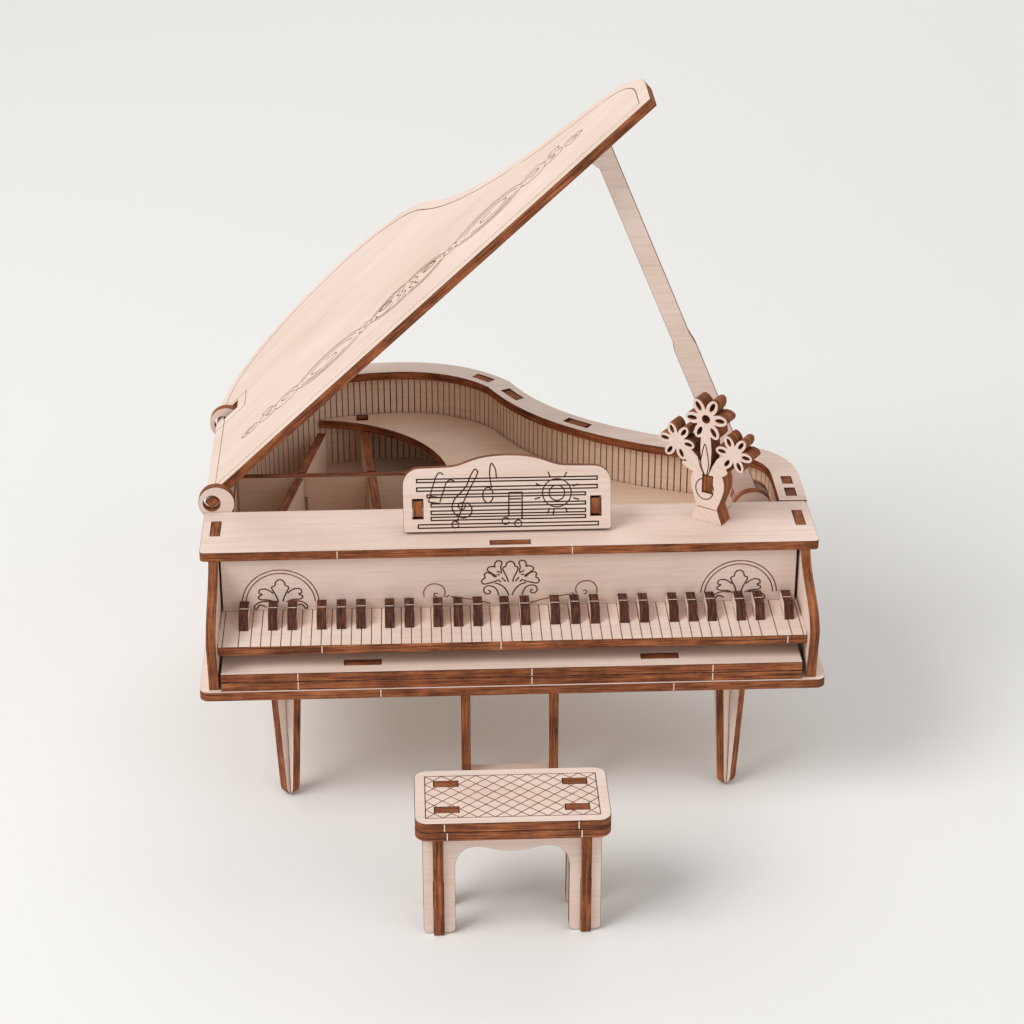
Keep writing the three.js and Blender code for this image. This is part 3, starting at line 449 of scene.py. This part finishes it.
WIDTH = 130
DEPTH = 115.5
WALL_FRONT = 38.2  # front end of the treble wall and of the lid
CORNER_AT = (68.5, 102.5)  # where the hollow flank meets the tail
SPINE_END = 88
BEND_START = 49
STRAIGHT = ((WIDTH, WALL_FRONT), (WIDTH, 42), (WIDTH, 45), (WIDTH, BEND_START))
FLANK = [
    ((WIDTH, BEND_START), (WIDTH, 57), (126, 62.5), (119, 65)),
    ((119, 65), (113, 67.1), (104, 69), (96, 73.5)),
    ((96, 73.5), (80, 82), (73, 92), CORNER_AT),
]
TAIL = [
    (CORNER_AT, (63, 110), (54, DEPTH), (42, DEPTH)),
    ((42, DEPTH), (20, DEPTH), (3, 104), (0, SPINE_END)),
]


def bezier_point(controls, t):
    p = [Vector(c) for c in controls]
    s = 1 - t
    point = s ** 3 * p[0] + 3 * s * s * t * p[1] + 3 * s * t * t * p[2] + t ** 3 * p[3]
    tangent = s * s * (p[1] - p[0]) + 2 * s * t * (p[2] - p[1]) + t * t * (p[3] - p[2])
    return point, tangent.normalized()


def inset_path(curves, inset, steps=60):
    """Points and tangents of a smooth path, moved towards the inside of the case."""
    path = []
    for curve in curves:
        for i in range(steps + 1):
            point, tangent = bezier_point(curve, i / steps)
            path.append((point + Vector((-tangent.y, tangent.x)) * inset, tangent))
    return path


def even_places(path, spacing):
    """Places at even distances along a path."""
    places = []
    travelled = spacing / 2
    for (a, tangent), (b, _) in zip(path, path[1:]):
        length = (b - a).length
        while length > 0 and travelled <= length:
            places.append((a + (b - a) * (travelled / length), tangent))
            travelled += spacing
        travelled -= length
    return places


# ---- bent walls ------------------------------------------------------------------------

WALL_INSET = 3.0  # middle of a wall, in from the outline
SLAT_PITCH = 1.5
KERF = 0.17  # width of a kerf between two slats
CORE = 0.5  # thickness of what the kerfs leave
SLAT_CORNER = 1  # place of the charred corners in a slat's materials
SLAT_CHAMFER = 0.05
WALL_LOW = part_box("tail_wall")[0].z / MM
WALL_HIGH = CASE_TOP - SHEET


def add_slat(point, tangent):
    """One upright slat, added to the mesh that is being edited."""
    bpy.ops.mesh.primitive_cube_add(
        size=1,
        location=place(point.x, point.y, (WALL_LOW + WALL_HIGH) / 2),
        rotation=(0, 0, math.atan2(tangent.y, tangent.x)),
        scale=((SLAT_PITCH - KERF) * MM, SHEET * MM, (WALL_HIGH - WALL_LOW) * MM),
    )


def wall_core(name, path):
    """The thin strip that the kerfs leave, drawn along the path and thickened."""
    curve = bpy.data.curves.new(name, "CURVE")
    curve.dimensions = "3D"
    curve.extrude = (WALL_HIGH - WALL_LOW) / 2 * MM
    spline = curve.splines.new("POLY")
    spline.points.add(len(path) - 1)
    for target, (point, _) in zip(spline.points, path):
        target.co = (*place(point.x, point.y, (WALL_LOW + WALL_HIGH) / 2), 1)
    core = bpy.data.objects.new(name, curve)
    bpy.context.scene.collection.objects.link(core)
    select_only(core)
    bpy.ops.object.convert(target="MESH")
    core = bpy.context.view_layer.objects.active
    core.data.materials.append(deep_cut)
    apply_modifier(core, "SOLIDIFY", thickness=CORE * MM, offset=0)
    return core


def slatted_wall(node, path):
    """A strip that bends because rows of kerfs cut it into slats on a thin core."""
    places = even_places(path, SLAT_PITCH)
    bpy.ops.object.select_all(action="DESELECT")
    bpy.ops.mesh.primitive_cube_add(size=1)
    slats = bpy.context.view_layer.objects.active
    bpy.ops.object.mode_set(mode="EDIT")
    bpy.ops.mesh.select_all(action="SELECT")
    bpy.ops.mesh.delete(type="VERT")
    for point, tangent in places:
        add_slat(point, tangent)
    bpy.ops.object.mode_set(mode="OBJECT")
    # the slats take the painted warm shade of the case's inside
    slats.data.materials.append(inside_face_painted_shade(Y))
    slats.data.materials.append(scorched_corner(Y))
    apply_modifier(
        slats, "BEVEL", width=SLAT_CHAMFER * MM, segments=1, material=SLAT_CORNER,
    )
    core = wall_core(f"{node}_core", path)
    select_only(slats, core)
    bpy.ops.object.join()
    slats.name = f"{node}_kerfed"
    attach(slats, "piano")
    return slats


def wall_tabs(node):
    """The wall's tabs through the rim stay as the CAD solid has them, above the slats."""
    tabs = board(node, Z, chamfer=0)
    above = new_cube("above_wall", (-10, -10, WALL_HIGH - 0.01), (140, 130, CASE_TOP + 5))
    apply_modifier(tabs, "BOOLEAN", object=above, operation="INTERSECT", solver="MANIFOLD")
    bpy.data.objects.remove(above)
    for face in tabs.data.polygons:
        face.material_index = EDGE
    tabs.name = f"{node}_tabs"
    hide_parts(node)
    return tabs


# ---- black keys --------------------------------------------------------------------------

BLACK_KEYS = [
    [9.1], [15.2, 19.2], [25.3, 29.4, 33.5], [39.5, 43.6], [49.6, 53.8, 57.9], [63.5, 67.8],
    [74.1, 78.3, 82.4], [88.5, 92.7], [98.9, 102.9, 106.9], [113, 117], [123.1],
]
KEY_FRONT, KEY_BACK, KEY_HEIGHT = 9.7, 17.3, 3.0
KEY_NOSE = (0, -2.1, 0.6)  # facing of a key's steep front
KEY_SLOPE = (0, -0.9, 1.3)  # facing of the slope behind it
SLOPE_LENGTH = 1.9
KEY_CHAMFER = 0.08
CHIP_CHAMFER = 0.05


def chip(name, low, high, body="piano"):
    """A sliver of clean wood across a burnt edge, where the board was snapped off."""
    piece = new_cube(name, low, high)
    piece.data.materials.append(fresh_chip)
    apply_modifier(piece, "BEVEL", width=CHIP_CHAMFER * MM, segments=1)
    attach(piece, body)
    return piece


def trim(point, normal):
    """Cuts off what lies beyond a plane, from the mesh that is being edited."""
    bpy.ops.mesh.select_all(action="SELECT")
    bpy.ops.mesh.bisect(plane_co=point, plane_no=normal, use_fill=True, clear_outer=True)


def black_key(name, x):
    """One plate on edge: its burnt edge is its top, and slopes down towards the front."""
    half = SHEET / 2
    foot, top = KEY_TOP + 0.02, KEY_TOP + 0.02 + KEY_HEIGHT
    key = new_cube(name, (x - half, KEY_FRONT, foot), (x + half, KEY_BACK, top))
    bpy.ops.object.mode_set(mode="EDIT")
    trim(place(x, KEY_FRONT, foot), KEY_NOSE)
    trim(place(x, KEY_FRONT + SLOPE_LENGTH, top), KEY_SLOPE)
    bpy.ops.object.mode_set(mode="OBJECT")
    for material in (basswood_face(X), key_edge(X), scorched_corner(X)):
        key.data.materials.append(material)
    for face in key.data.polygons:
        face.material_index = FACE if abs(face.normal.x) > 0.7 else EDGE
    apply_modifier(
        key, "BEVEL", width=KEY_CHAMFER * MM, segments=1, limit_method="ANGLE",
        angle_limit=math.radians(36), material=CORNER,
    )
    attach(key, "piano")
    return key


def make_black_keys():
    """The keys in their groups of one, two and three, each with a chip across its top."""
    for g, group in enumerate(BLACK_KEYS, 1):
        for k, x in enumerate(group, 1):
            key = black_key(f"black_key_{g:02d}_{k}", x)
            if k == 1:
                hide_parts(f"black_keys_{g:02d}")
            across = KEY_BACK - 3.2 - 0.15 * ((g + k) % 3)
            top = KEY_TOP + KEY_HEIGHT
            chip(
                f"key_chip_{g:02d}_{k}",
                (x - 0.9, across, top - 0.3),
                (x + 0.9, across + 0.25, top + 0.04),
            )


# ---- engraved boards ---------------------------------------------------------------------

KEY_LINE_PITCH = 2.073
EVEN_KEY_LINES = [10.8 + k * KEY_LINE_PITCH for k in range(52)]
KEY_LINES = [5.0, 8.3, *EVEN_KEY_LINES, 119.8, 122.8, 125.2]
KEY_LINE_ENDS = (3.0, 18.6)


def engrave_keyboard(piece):
    """The gaps between the white keys, which are wider at both ends of the keyboard."""
    lines = [[place(x, y, KEY_TOP) for y in KEY_LINE_ENDS] for x in KEY_LINES]
    engrave(piece, lines, tan_line, width=0.22)


def on_fallboard(points, x):
    """Points on the fallboard's face: sideways from x, and up."""
    return [place(x + u, FALL_FRONT, v) for u, v in points]


def both_sides(lines):
    """Lines drawn for the right half, followed by their mirror images."""
    return [*lines, *(mirrored(line) for line in lines)]


END_PALMETTE = both_sides([
    smooth_line([(1.5, 45.5), (2.3, 46.2), (3.2, 46.6), (4.3, 46.4), (4.45, 45.6), (3.85, 45.3),
                 (4.65, 44.7), (4.2, 44.1), (2.5, 43.95), (1.2, 43.4)]),
    smooth_line([(1.9, 43.5), (3.2, 43.65), (4.5, 43.4), (5.5, 42.6), (5.5, 41.8), (5.1, 41.9),
                 (4.3, 42.8), (3.1, 42.3)]),
]) + [
    smooth_line([(-0.45, 43.5), (-0.9, 44.9), (-1.6, 46.3), (-1.75, 47.0), (-1.1, 47.4),
                 (-0.93, 48.1), (-0.5, 48.6), (0, 48.75), (0.5, 48.6), (0.93, 48.1),
                 (1.1, 47.4), (1.75, 47.0), (1.6, 46.3), (0.9, 44.9), (0.45, 43.5)]),
]

CENTRE_PALMETTE = both_sides([
    smooth_line([(1.84, 49.5), (2.05, 50.7), (1.78, 51.7), (2.25, 52.15), (3.0, 52.0),
                 (3.35, 51.2), (3.25, 50.75), (3.9, 50.85), (4.65, 50.6), (4.85, 50.0),
                 (4.3, 49.5), (3.35, 48.8), (2.9, 48.3)]),
    smooth_line([(3.25, 48.25), (4.1, 49.15), (5.05, 49.4), (5.5, 48.95), (5.35, 48.2),
                 (5.85, 47.8), (6.05, 47.2), (5.6, 46.7), (4.5, 46.9), (3.4, 47.2),
                 (2.7, 47.5)]),
    [(1.75, 49.2), (2.9, 49.75)],
    [(2.2, 48.85), (2.95, 48.85)],
    [(1.85, 48.2), (1.0, 47.2)],
    [(1.95, 47.1), (2.6, 47.7)],
    smooth_line([(0.3, 43.9), (1.1, 45.5), (2.2, 46.5), (3.3, 46.85)]),
    smooth_line([(2.5, 43.9), (2.8, 45.1), (3.55, 46.0), (4.7, 46.25), (5.5, 45.8),
                 (5.6, 44.95), (5.05, 44.35), (4.35, 44.5), (4.3, 45.05), (4.75, 45.15)]),
]) + [
    smooth_line([(-0.42, 47.1), (-0.8, 48.3), (-1.3, 49.4), (-1.6, 50.3), (-1.35, 50.7),
                 (-1.0, 50.8), (-0.75, 51.6), (0, 52.0), (0.75, 51.6), (1.0, 50.8),
                 (1.35, 50.7), (1.6, 50.3), (1.3, 49.4), (0.8, 48.3), (0.42, 47.1)]),
]

SWIRLS = both_sides([
    smooth_line([(18.2, 43.9), (18.25, 45.3), (17.4, 46.6), (16.0, 47.0), (14.5, 46.5),
                 (13.8, 45.2), (14.0, 43.9)]),
    smooth_line([(15.25, 44.65), (16.0, 44.7), (16.1, 44.1), (15.5, 43.85)]),
    smooth_line([(13.7, 43.7), (12.9, 44.2)]),
    smooth_line([(12.6, 43.9), (9.8, 43.4), (6.8, 42.8), (4.2, 42.0)]),
])


END_FLOWER_OFFSET = 48.4


def engrave_fallboard(piece):
    """A palmette in the middle with a swirl each side, and one under each end's arch."""
    middle = WIDTH / 2
    for x in (middle - END_FLOWER_OFFSET, middle + END_FLOWER_OFFSET):
        rings = [on_fallboard(arc(0, 42.95, radius, 4, 176, 28), x) for radius in (8.1, 7.3)]
        engrave(piece, rings, tan_line, width=0.28)
        flower = [on_fallboard(line, x) for line in END_PALMETTE]
        engrave(piece, flower, engraved_line, width=0.32, crossing=True)
    flower = [on_fallboard(line, middle) for line in CENTRE_PALMETTE]
    engrave(piece, flower, engraved_line, width=0.32, crossing=True)
    swirls = [on_fallboard(line, middle) for line in SWIRLS]
    engrave(piece, swirls, tan_line, width=0.28, crossing=True)


LID_ACROSS = Vector((math.cos(LID_OPEN), 0, math.sin(LID_OPEN)))
LID_NORMAL = Vector((-math.sin(LID_OPEN), 0, math.cos(LID_OPEN)))


def on_lid(points):
    """Points on the lid's upper face: how far from the hinge, and how far back."""
    made = []
    for u, v in points:
        at = HINGE + LID_ACROSS * u + LID_NORMAL * (SHEET / 2)
        made.append(place(at.x, v, at.z))
    return made


LID_FRONT = 38.4
LID_SCALE = 0.92  # the lid is shallower than the case


def lid_border(inset):
    """The lid's outline moved inwards, without the hinge side's notch."""
    path = inset_path(FLANK, 1 + inset, 12)
    tail = inset_path(TAIL, 1 + inset, 12)
    points = [p for p, _ in path][:-1] + [p for p, _ in tail][1:]
    along = [(p.x - HINGE.x, LID_FRONT + (p.y - WALL_FRONT) * LID_SCALE) for p in points]
    return [(along[0][0], LID_FRONT + inset), *along, (-1 + inset, LID_FRONT + inset)]


def lid_ornament():
    """One half of the band of scrolls, drawn outwards from its middle."""
    outlines = [
        [(0, 3.5), (3, 3.9), (6, 3.6), (9, 2.3), (11, 0.9)],
        [(0.4, 2.8), (3, 3.2), (5.6, 2.9), (8.4, 1.7), (10, 0.7)],
        [(10.6, 0.2), (12, 1.4), (13.6, 1.5), (14.6, 0.5)],
        [(13.8, 0.9), (17, 3.1), (22, 4.2), (27, 4.0), (31, 2.6), (33.6, 0.6)],
        [(15.4, 1.0), (18, 2.5), (22, 3.4), (26.6, 3.2), (30, 2.0), (32, 0.7)],
        [(33.2, 0.9), (35, 2.1), (38, 2.4), (40.2, 1.0)],
        [(39.8, 0.7), (41.5, 1.6), (43.8, 1.3), (45.2, 0.4)],
        [(45.6, 0.5), (47, 1.4), (49.4, 1.1), (50.6, 0.1)],
    ]
    lines = [smooth_line(line) for line in outlines]
    lines += [smooth_line([(u, -v) for u, v in line]) for line in outlines]
    scrolls = [
        [(0.7, 1.9), (1.7, 0.6), (0.5, -0.6), (1.6, -2.0)],
        [(2.2, 2.3), (3.1, 0.9), (2.1, -0.4), (3.2, -2.3)],
        [(3.9, 2.1), (6.6, 2.1), (8.3, 0.9), (6.6, 0.1), (4.8, 0.5), (5.4, 1.2), (6.6, 1.1)],
        [(4.3, -0.9), (6.2, -2.4), (8.6, -1.5), (9.4, -0.3)],
        [(12, 0.5), (13.2, 0), (12, -0.5)],
        [(16.6, 0), (19, 1.7), (23, 2.4), (27, 1.9), (29, 0.3), (27, -1.3), (23.6, -1.5),
         (21.4, -0.5), (22.2, 0.6), (24.6, 0.7)],
        [(18.6, -1.6), (22, -2.7), (26.6, -2.6), (30.4, -0.9)],
        [(34, 0), (36, 1.1), (38.2, 0.9), (37.4, -0.3), (35.8, -0.5)],
        [(41.4, 0.7), (43, 0.1), (41.6, -0.7)],
        [(41.0, 2.1), (42.4, 3.2), (44.2, 2.9), (44.0, 1.9)],
        [(46.6, 0.1), (48.2, 0.6), (49.2, 0), (48.2, -0.5)],
    ]
    return lines + [smooth_line(line) for line in scrolls]


LID_MARGIN = 2.7
NOTCH_BOX = [(-0.8, 72.4), (8.5, 72.4), (8.5, 80.6), (-0.8, 80.6)]
BAND_AT = (59.5, 54.5)  # middle of the band: from the hinge, and back


def engrave_lid(piece):
    """A border line round the edge, a band of scrolls, and the box round the notch."""
    engrave(piece, [on_lid(lid_border(LID_MARGIN))], tan_line, width=0.34, closed=True)
    engrave(piece, [on_lid(NOTCH_BOX)], tan_line, width=0.3, crossing=True)
    middle, row = BAND_AT
    for side in (1, -1):
        scrolls = []
        for line in lid_ornament():
            scrolls.append(on_lid([(middle + side * u, row + v) for u, v in line]))
        engrave(piece, scrolls, tan_line, width=0.42, crossing=True)


SEAT_MARGIN = 2.1
SEAT_DIAMONDS = 10  # along the seat
SEAT_ROWS = 5


def engrave_seat(piece):
    """A border line with a diamond lattice inside it."""
    low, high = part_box("seat_upper")
    x0, y0 = (low.x - PLAN.x) / MM + SEAT_MARGIN, (low.y - PLAN.y) / MM + SEAT_MARGIN
    x1, y1 = (high.x - PLAN.x) / MM - SEAT_MARGIN, (high.y - PLAN.y) / MM - SEAT_MARGIN
    top = high.z / MM
    step = (x1 - x0) / SEAT_DIAMONDS
    run = SEAT_ROWS * step  # how far a lattice line travels along x while it crosses the seat
    border = [(x0, y0), (x1, y0), (x1, y1), (x0, y1)]
    border = [place(x, y, top) for x, y in border]
    engrave(piece, [border], engraved_line, width=0.28, closed=True)
    for sign in (1, -1):
        family = []
        for i in range(1 - SEAT_ROWS, SEAT_DIAMONDS + SEAT_ROWS):
            start = x0 + i * step
            ends = [Vector((start, y0)), Vector((start + sign * run, y1))]
            clipped = clip_to(ends, x0, x1)
            if clipped:
                family.append([place(p.x, p.y, top) for p in clipped])
        engrave(piece, family, tan_line, width=0.24, crossing=True)


SHORTEST_PART = 0.03  # shorter parts of a lattice line are left out


def clip_to(ends, low, high):
    """The part of a line between two x values, or nothing."""
    a, b = ends
    direction = b - a
    t0, t1 = 0.0, 1.0
    for edge, sign in ((low, 1), (high, -1)):
        start, change = sign * (a.x - edge), sign * direction.x
        if start < 0 and start + change < 0:
            return None
        if start < 0:
            t0 = max(t0, -start / change)
        elif start + change < 0:
            t1 = min(t1, -start / change)
    if t1 - t0 < SHORTEST_PART:
        return None
    return [a + direction * t0, a + direction * t1]


# ---- music desk --------------------------------------------------------------------------

DESK_UP = Vector((0, math.sin(DESK_TILT), math.cos(DESK_TILT)))
DESK_FOOT = CASE_TOP + SHEET * math.sin(DESK_TILT) + 0.05


def on_desk(points):
    """Points on the desk's face, from the left end of its foot: how far along, how high."""
    return [
        place(DESK_LEFT + u, DESK_FRONT + DESK_UP.y * v, DESK_FOOT + DESK_UP.z * v)
        for u, v in points
    ]


STAVE_BARS = [  # left, right, bottom, top
    (2.95, 40.9, 10.68, 11.35), (2.95, 40.9, 8.83, 9.55), (5.1, 38.4, 7.4, 8.0),
    (5.9, 38.4, 5.4, 6.05), (5.9, 38.4, 3.76, 4.5), (5.9, 38.4, 2.5, 3.17),
    (3.16, 41.1, 0.87, 1.62),
]
CLEF = [
    smooth_line([(11.1, 1.9), (11.9, 3.6), (12.7, 6.2), (14.0, 9.0), (15.3, 11.4), (15.9, 12.9)]),
    smooth_line([(15.8, 12.8), (15.2, 13.3), (14.3, 12.0), (13.5, 10.0), (12.4, 8.6),
                 (10.9, 7.0), (10.3, 5.2), (11.0, 3.6)]),
    smooth_line([(11.0, 3.7), (12.6, 2.9), (14.2, 3.6), (14.4, 5.2), (13.4, 6.3)]),
]
NOTES = [
    *CLEF,
    arc(10.97, 1.53, 0.75, 0, 345, 12),
    arc(12.37, 5.5, 0.75, 0, 345, 12),
    smooth_line([(5.4, 6.66), (6.2, 9.4), (7.1, 12.0), (7.9, 12.7), (8.6, 12.2)]),
    smooth_line([(7.76, 6.35), (8.5, 8.6), (9.2, 10.6), (10.1, 11.1), (10.9, 10.8)]),
    [(5.66, 7.74), (8.16, 7.3)],
    [(5.3, 6.5), (7.8, 6.1)],
    arc(17.9, 7.7, 1.1, 5, 355, 16, 1.5),
    smooth_line([(18.7, 9.2), (18.4, 11.0), (18.3, 12.8), (18.7, 14.5), (19.5, 13.2),
                 (19.7, 11.5)]),
    [(22.2, 3.0), (22.3, 8.2), (25.1, 8.2), (25.0, 2.4)],
    [(22.4, 6.8), (24.9, 6.8)],
    arc(21.55, 2.1, 0.75, 10, 350, 12),
    arc(24.2, 1.5, 0.75, 10, 350, 12),
]
RING_AT = (32.4, 7.93)
RING_RADII = (3.03, 1.63)
RAYS = (65, 112, 22, -18, -62, 155, 195, 245, -100)  # degrees
RAY_ENDS = (3.6, 4.9)


def engrave_desk(piece):
    """Stave bars with notes, a clef and a small ring with rays laid over them."""
    bars = []
    for left, right, bottom, top in STAVE_BARS:
        bars.append(on_desk([(left, bottom), (right, bottom), (right, top), (left, top)]))
    engrave(piece, bars, deep_cut, width=0.56, closed=True)
    rings = [on_desk(arc(*RING_AT, radius, 0, 345, 24)) for radius in RING_RADII]
    engrave(piece, rings, engraved_line, width=0.4, closed=True, crossing=True)
    notes = [on_desk(line) for line in NOTES]
    for angle in RAYS:
        notes.append(on_desk([arc(*RING_AT, r, angle, angle, 1)[0] for r in RAY_ENDS]))
    engrave(piece, notes, engraved_line, width=0.4, crossing=True)


# ---- vase --------------------------------------------------------------------------------


def on_vase(points):
    """Points on the front layer's face: sideways from its middle, and up."""
    across = Vector((math.cos(VASE_TURN), math.sin(VASE_TURN), 0))
    outwards = Vector((math.sin(VASE_TURN), -math.cos(VASE_TURN), 0))
    made = []
    for u, v in points:
        at = VASE_AT + across * u + outwards * SHEET
        made.append(place(at.x, at.y, at.z + v))
    return made


def engrave_vase(piece):
    """An oval round the peg, the rim line of the foot, and the outlines of the leaves."""
    lines = [
        arc(-0.6, 7.6, 2.1, 0, 352, 24, 1.15),
        smooth_line([(-0.55, 10.5), (-1.7, 13.2), (-1.5, 15.6), (-0.9, 18.0), (-0.2, 15.6),
                     (0.1, 13.2), (-0.3, 10.8)]),
        smooth_line([(-0.9, 10.9), (-1.8, 12.6), (-2.4, 14.7)]),
        smooth_line([(0.0, 10.9), (0.9, 13.2), (1.9, 15.2)]),
        smooth_line([(-1.3, 18.6), (-1.2, 20.4), (-0.6, 20.2), (-0.4, 18.8), (-0.9, 18.3)]),
    ]
    lines = [on_vase(line) for line in lines]
    engrave(piece, lines, engraved_line, width=0.26, crossing=True)
    foot = on_vase([(-2.3, 3.2), (2.3, 3.2)])
    engrave(piece, [foot], tan_line, width=0.2, crossing=True)


# ---- chips of clean wood -------------------------------------------------------------------

BASE_BOTTOM, SLIP_BOTTOM, SEAT_BOTTOM = 30, 32, 24.3
EDGE_CHIPS = [  # body, name, the board's front and bottom, places along it
    ("piano", "base_chip", 0.8, BASE_BOTTOM, [37.3, 98.1]),
    ("piano", "slip_chip_upper", 1.3, SLIP_BOTTOM + SHEET, [20.3, 68.6, 106.2]),
    ("piano", "slip_chip_lower", 1.3, SLIP_BOTTOM, [20.3, 68.6, 106.2]),
    ("piano", "key_chip_front", 3.2, KEY_TOP - SHEET, [25.4, 62.3, 121.8]),
    ("piano", "top_chip", 17.1, CASE_TOP - SHEET, [28.7, 77.8]),
    ("stool", "seat_chip_upper", -44, SEAT_BOTTOM + SHEET, [49.5, 75.4]),
    ("stool", "seat_chip_lower", -44, SEAT_BOTTOM, [50, 76]),
]
CHIP_WIDTH = 0.22
CHIP_DEPTH = 0.3
CHIP_PROUD = 0.04
CHIP_MARGIN = 0.15  # from the board's upper and lower corners


def edge_chips():
    """Slivers across the front edges, where small bridges held the boards in their sheet."""
    for body, name, front, bottom, places in EDGE_CHIPS:
        for i, x in enumerate(places, 1):
            chip(
                f"{name}_{i}",
                (x, front - CHIP_PROUD, bottom + CHIP_MARGIN),
                (x + CHIP_WIDTH, front + CHIP_DEPTH, bottom + SHEET - CHIP_MARGIN),
                body,
            )


# ---- floor and light, in metres ------------------------------------------------------------

FLOOR_SIZE = 6
FLOOR_GAP = 0.0001
LIGHTS_AIM = (0, 0, 0.05)


def make_floor():
    """A wide pale floor just below the feet."""
    bpy.ops.object.select_all(action="DESELECT")
    bpy.ops.mesh.primitive_plane_add(size=FLOOR_SIZE, location=(0, 0, -FLOOR_GAP))
    floor = bpy.context.view_layer.objects.active
    floor.name = "floor"
    material, _, shader = new_material("studio_floor")
    shader.inputs["Base Color"].default_value = (0.80, 0.79, 0.77, 1)
    shader.inputs["Roughness"].default_value = 0.95
    floor.data.materials.append(material)


def add_light(name, at, size, power):
    """A soft square light that shines at the middle of the part."""
    data = bpy.data.lights.new(name, "AREA")
    data.energy = power
    data.size = size
    light = bpy.data.objects.new(name, data)
    bpy.context.scene.collection.objects.link(light)
    light.location = at
    direction = Vector(LIGHTS_AIM) - Vector(at)
    light.rotation_euler = direction.to_track_quat("-Z", "Y").to_euler()


def make_lights():
    """A soft key light from the left, a weak fill and back light, and a pale world."""
    world = bpy.data.worlds.new("studio")
    bpy.context.scene.world = world
    world.use_nodes = True
    background = world.node_tree.nodes["Background"]
    background.inputs["Color"].default_value = (1, 0.99, 0.98, 1)
    background.inputs["Strength"].default_value = 0.52
    add_light("key_light", (-0.8, -0.45, 0.95), 0.7, 11.5)
    add_light("fill_light", (0.8, -0.7, 0.5), 0.9, 2.2)
    add_light("back_light", (0.2, 0.9, 0.8), 0.8, 3)
    bpy.context.scene.view_settings.view_transform = "Standard"


# ---- everything ----------------------------------------------------------------------------

make_camera()

FLAT_BOARDS = ["base_board", "rim_top", "pedal_board", "top_board"]
STACKED_BOARDS = ["key_slip_lower", "key_slip_upper", "seat_lower"]
FRONT_BOARDS = [
    "hinge_plate_front", "hinge_plate_rear", "stay_ear_front", "stay_ear_rear",
    "bench_panel_front", "bench_panel_rear", "slip_peg_left", "slip_peg_right", "lid_stay",
]
SIDE_BOARDS = [
    "cheek_left", "cheek_right", "lyre_post_left", "lyre_post_right",
    "desk_bracket_left", "desk_bracket_right", "bench_side_left", "bench_side_right",
]
RIBS = [("rib_left", -13.4, 69.2), ("rib_right", 5.3, 72.7)]  # each one's run in x and y


def turned(normal, degrees):
    """A direction turned about the upright axis."""
    return Matrix.Rotation(math.radians(degrees), 3, "Z") @ normal


def make_plain_boards():
    for names, normal in ((FLAT_BOARDS, Z), (FRONT_BOARDS, Y), (SIDE_BOARDS, X)):
        for name in names:
            board(name, normal)
    for name in STACKED_BOARDS:
        board(name, Z, chamfer=STACKED_CHAMFER)
    for corner in ("front_left", "front_right", "rear"):
        board(f"leg_{corner}_a", turned(Y, 45))
        board(f"leg_{corner}_b", turned(Y, -45))
    # the boards inside the case get painted warm shade
    board("soundboard", Z, inside_face_painted_shade)
    board("front_bulkhead", Y, inside_face_painted_shade)
    board("cross_brace", Y, inside_face_painted_shade)
    board("spine_wall", X, inside_face_painted_shade)
    for name, sideways, back in RIBS:
        board(name, turned(X, math.degrees(math.atan2(sideways, back))), inside_face_painted_shade)
    vase_facing = turned(Y, math.degrees(VASE_TURN))
    board("vase_back", vase_facing, chamfer=THIN_CHAMFER)
    board("vase_stand", turned(X, math.degrees(VASE_TURN)))
    board("stay_pin", Y)


def make_engraved_boards():
    engrave_keyboard(board("key_board", Z))
    engrave_fallboard(board("fallboard", Y))
    engrave_lid(board("lid", LID_NORMAL))
    engrave_seat(board("seat_upper", Z, chamfer=STACKED_CHAMFER))
    desk_normal = Vector((0, -math.cos(DESK_TILT), math.sin(DESK_TILT)))
    engrave_desk(board("music_desk", desk_normal))
    engrave_vase(board("vase_front", turned(Y, math.degrees(VASE_TURN)), chamfer=THIN_CHAMFER))


def make_walls():
    for node, curves in (("treble_wall", [STRAIGHT, *FLANK]), ("tail_wall", TAIL)):
        piece = slatted_wall(node, inset_path(curves, WALL_INSET))
        wall_tabs(node)


make_plain_boards()
make_engraved_boards()
make_walls()
make_black_keys()
edge_chips()
make_floor()
make_lights()
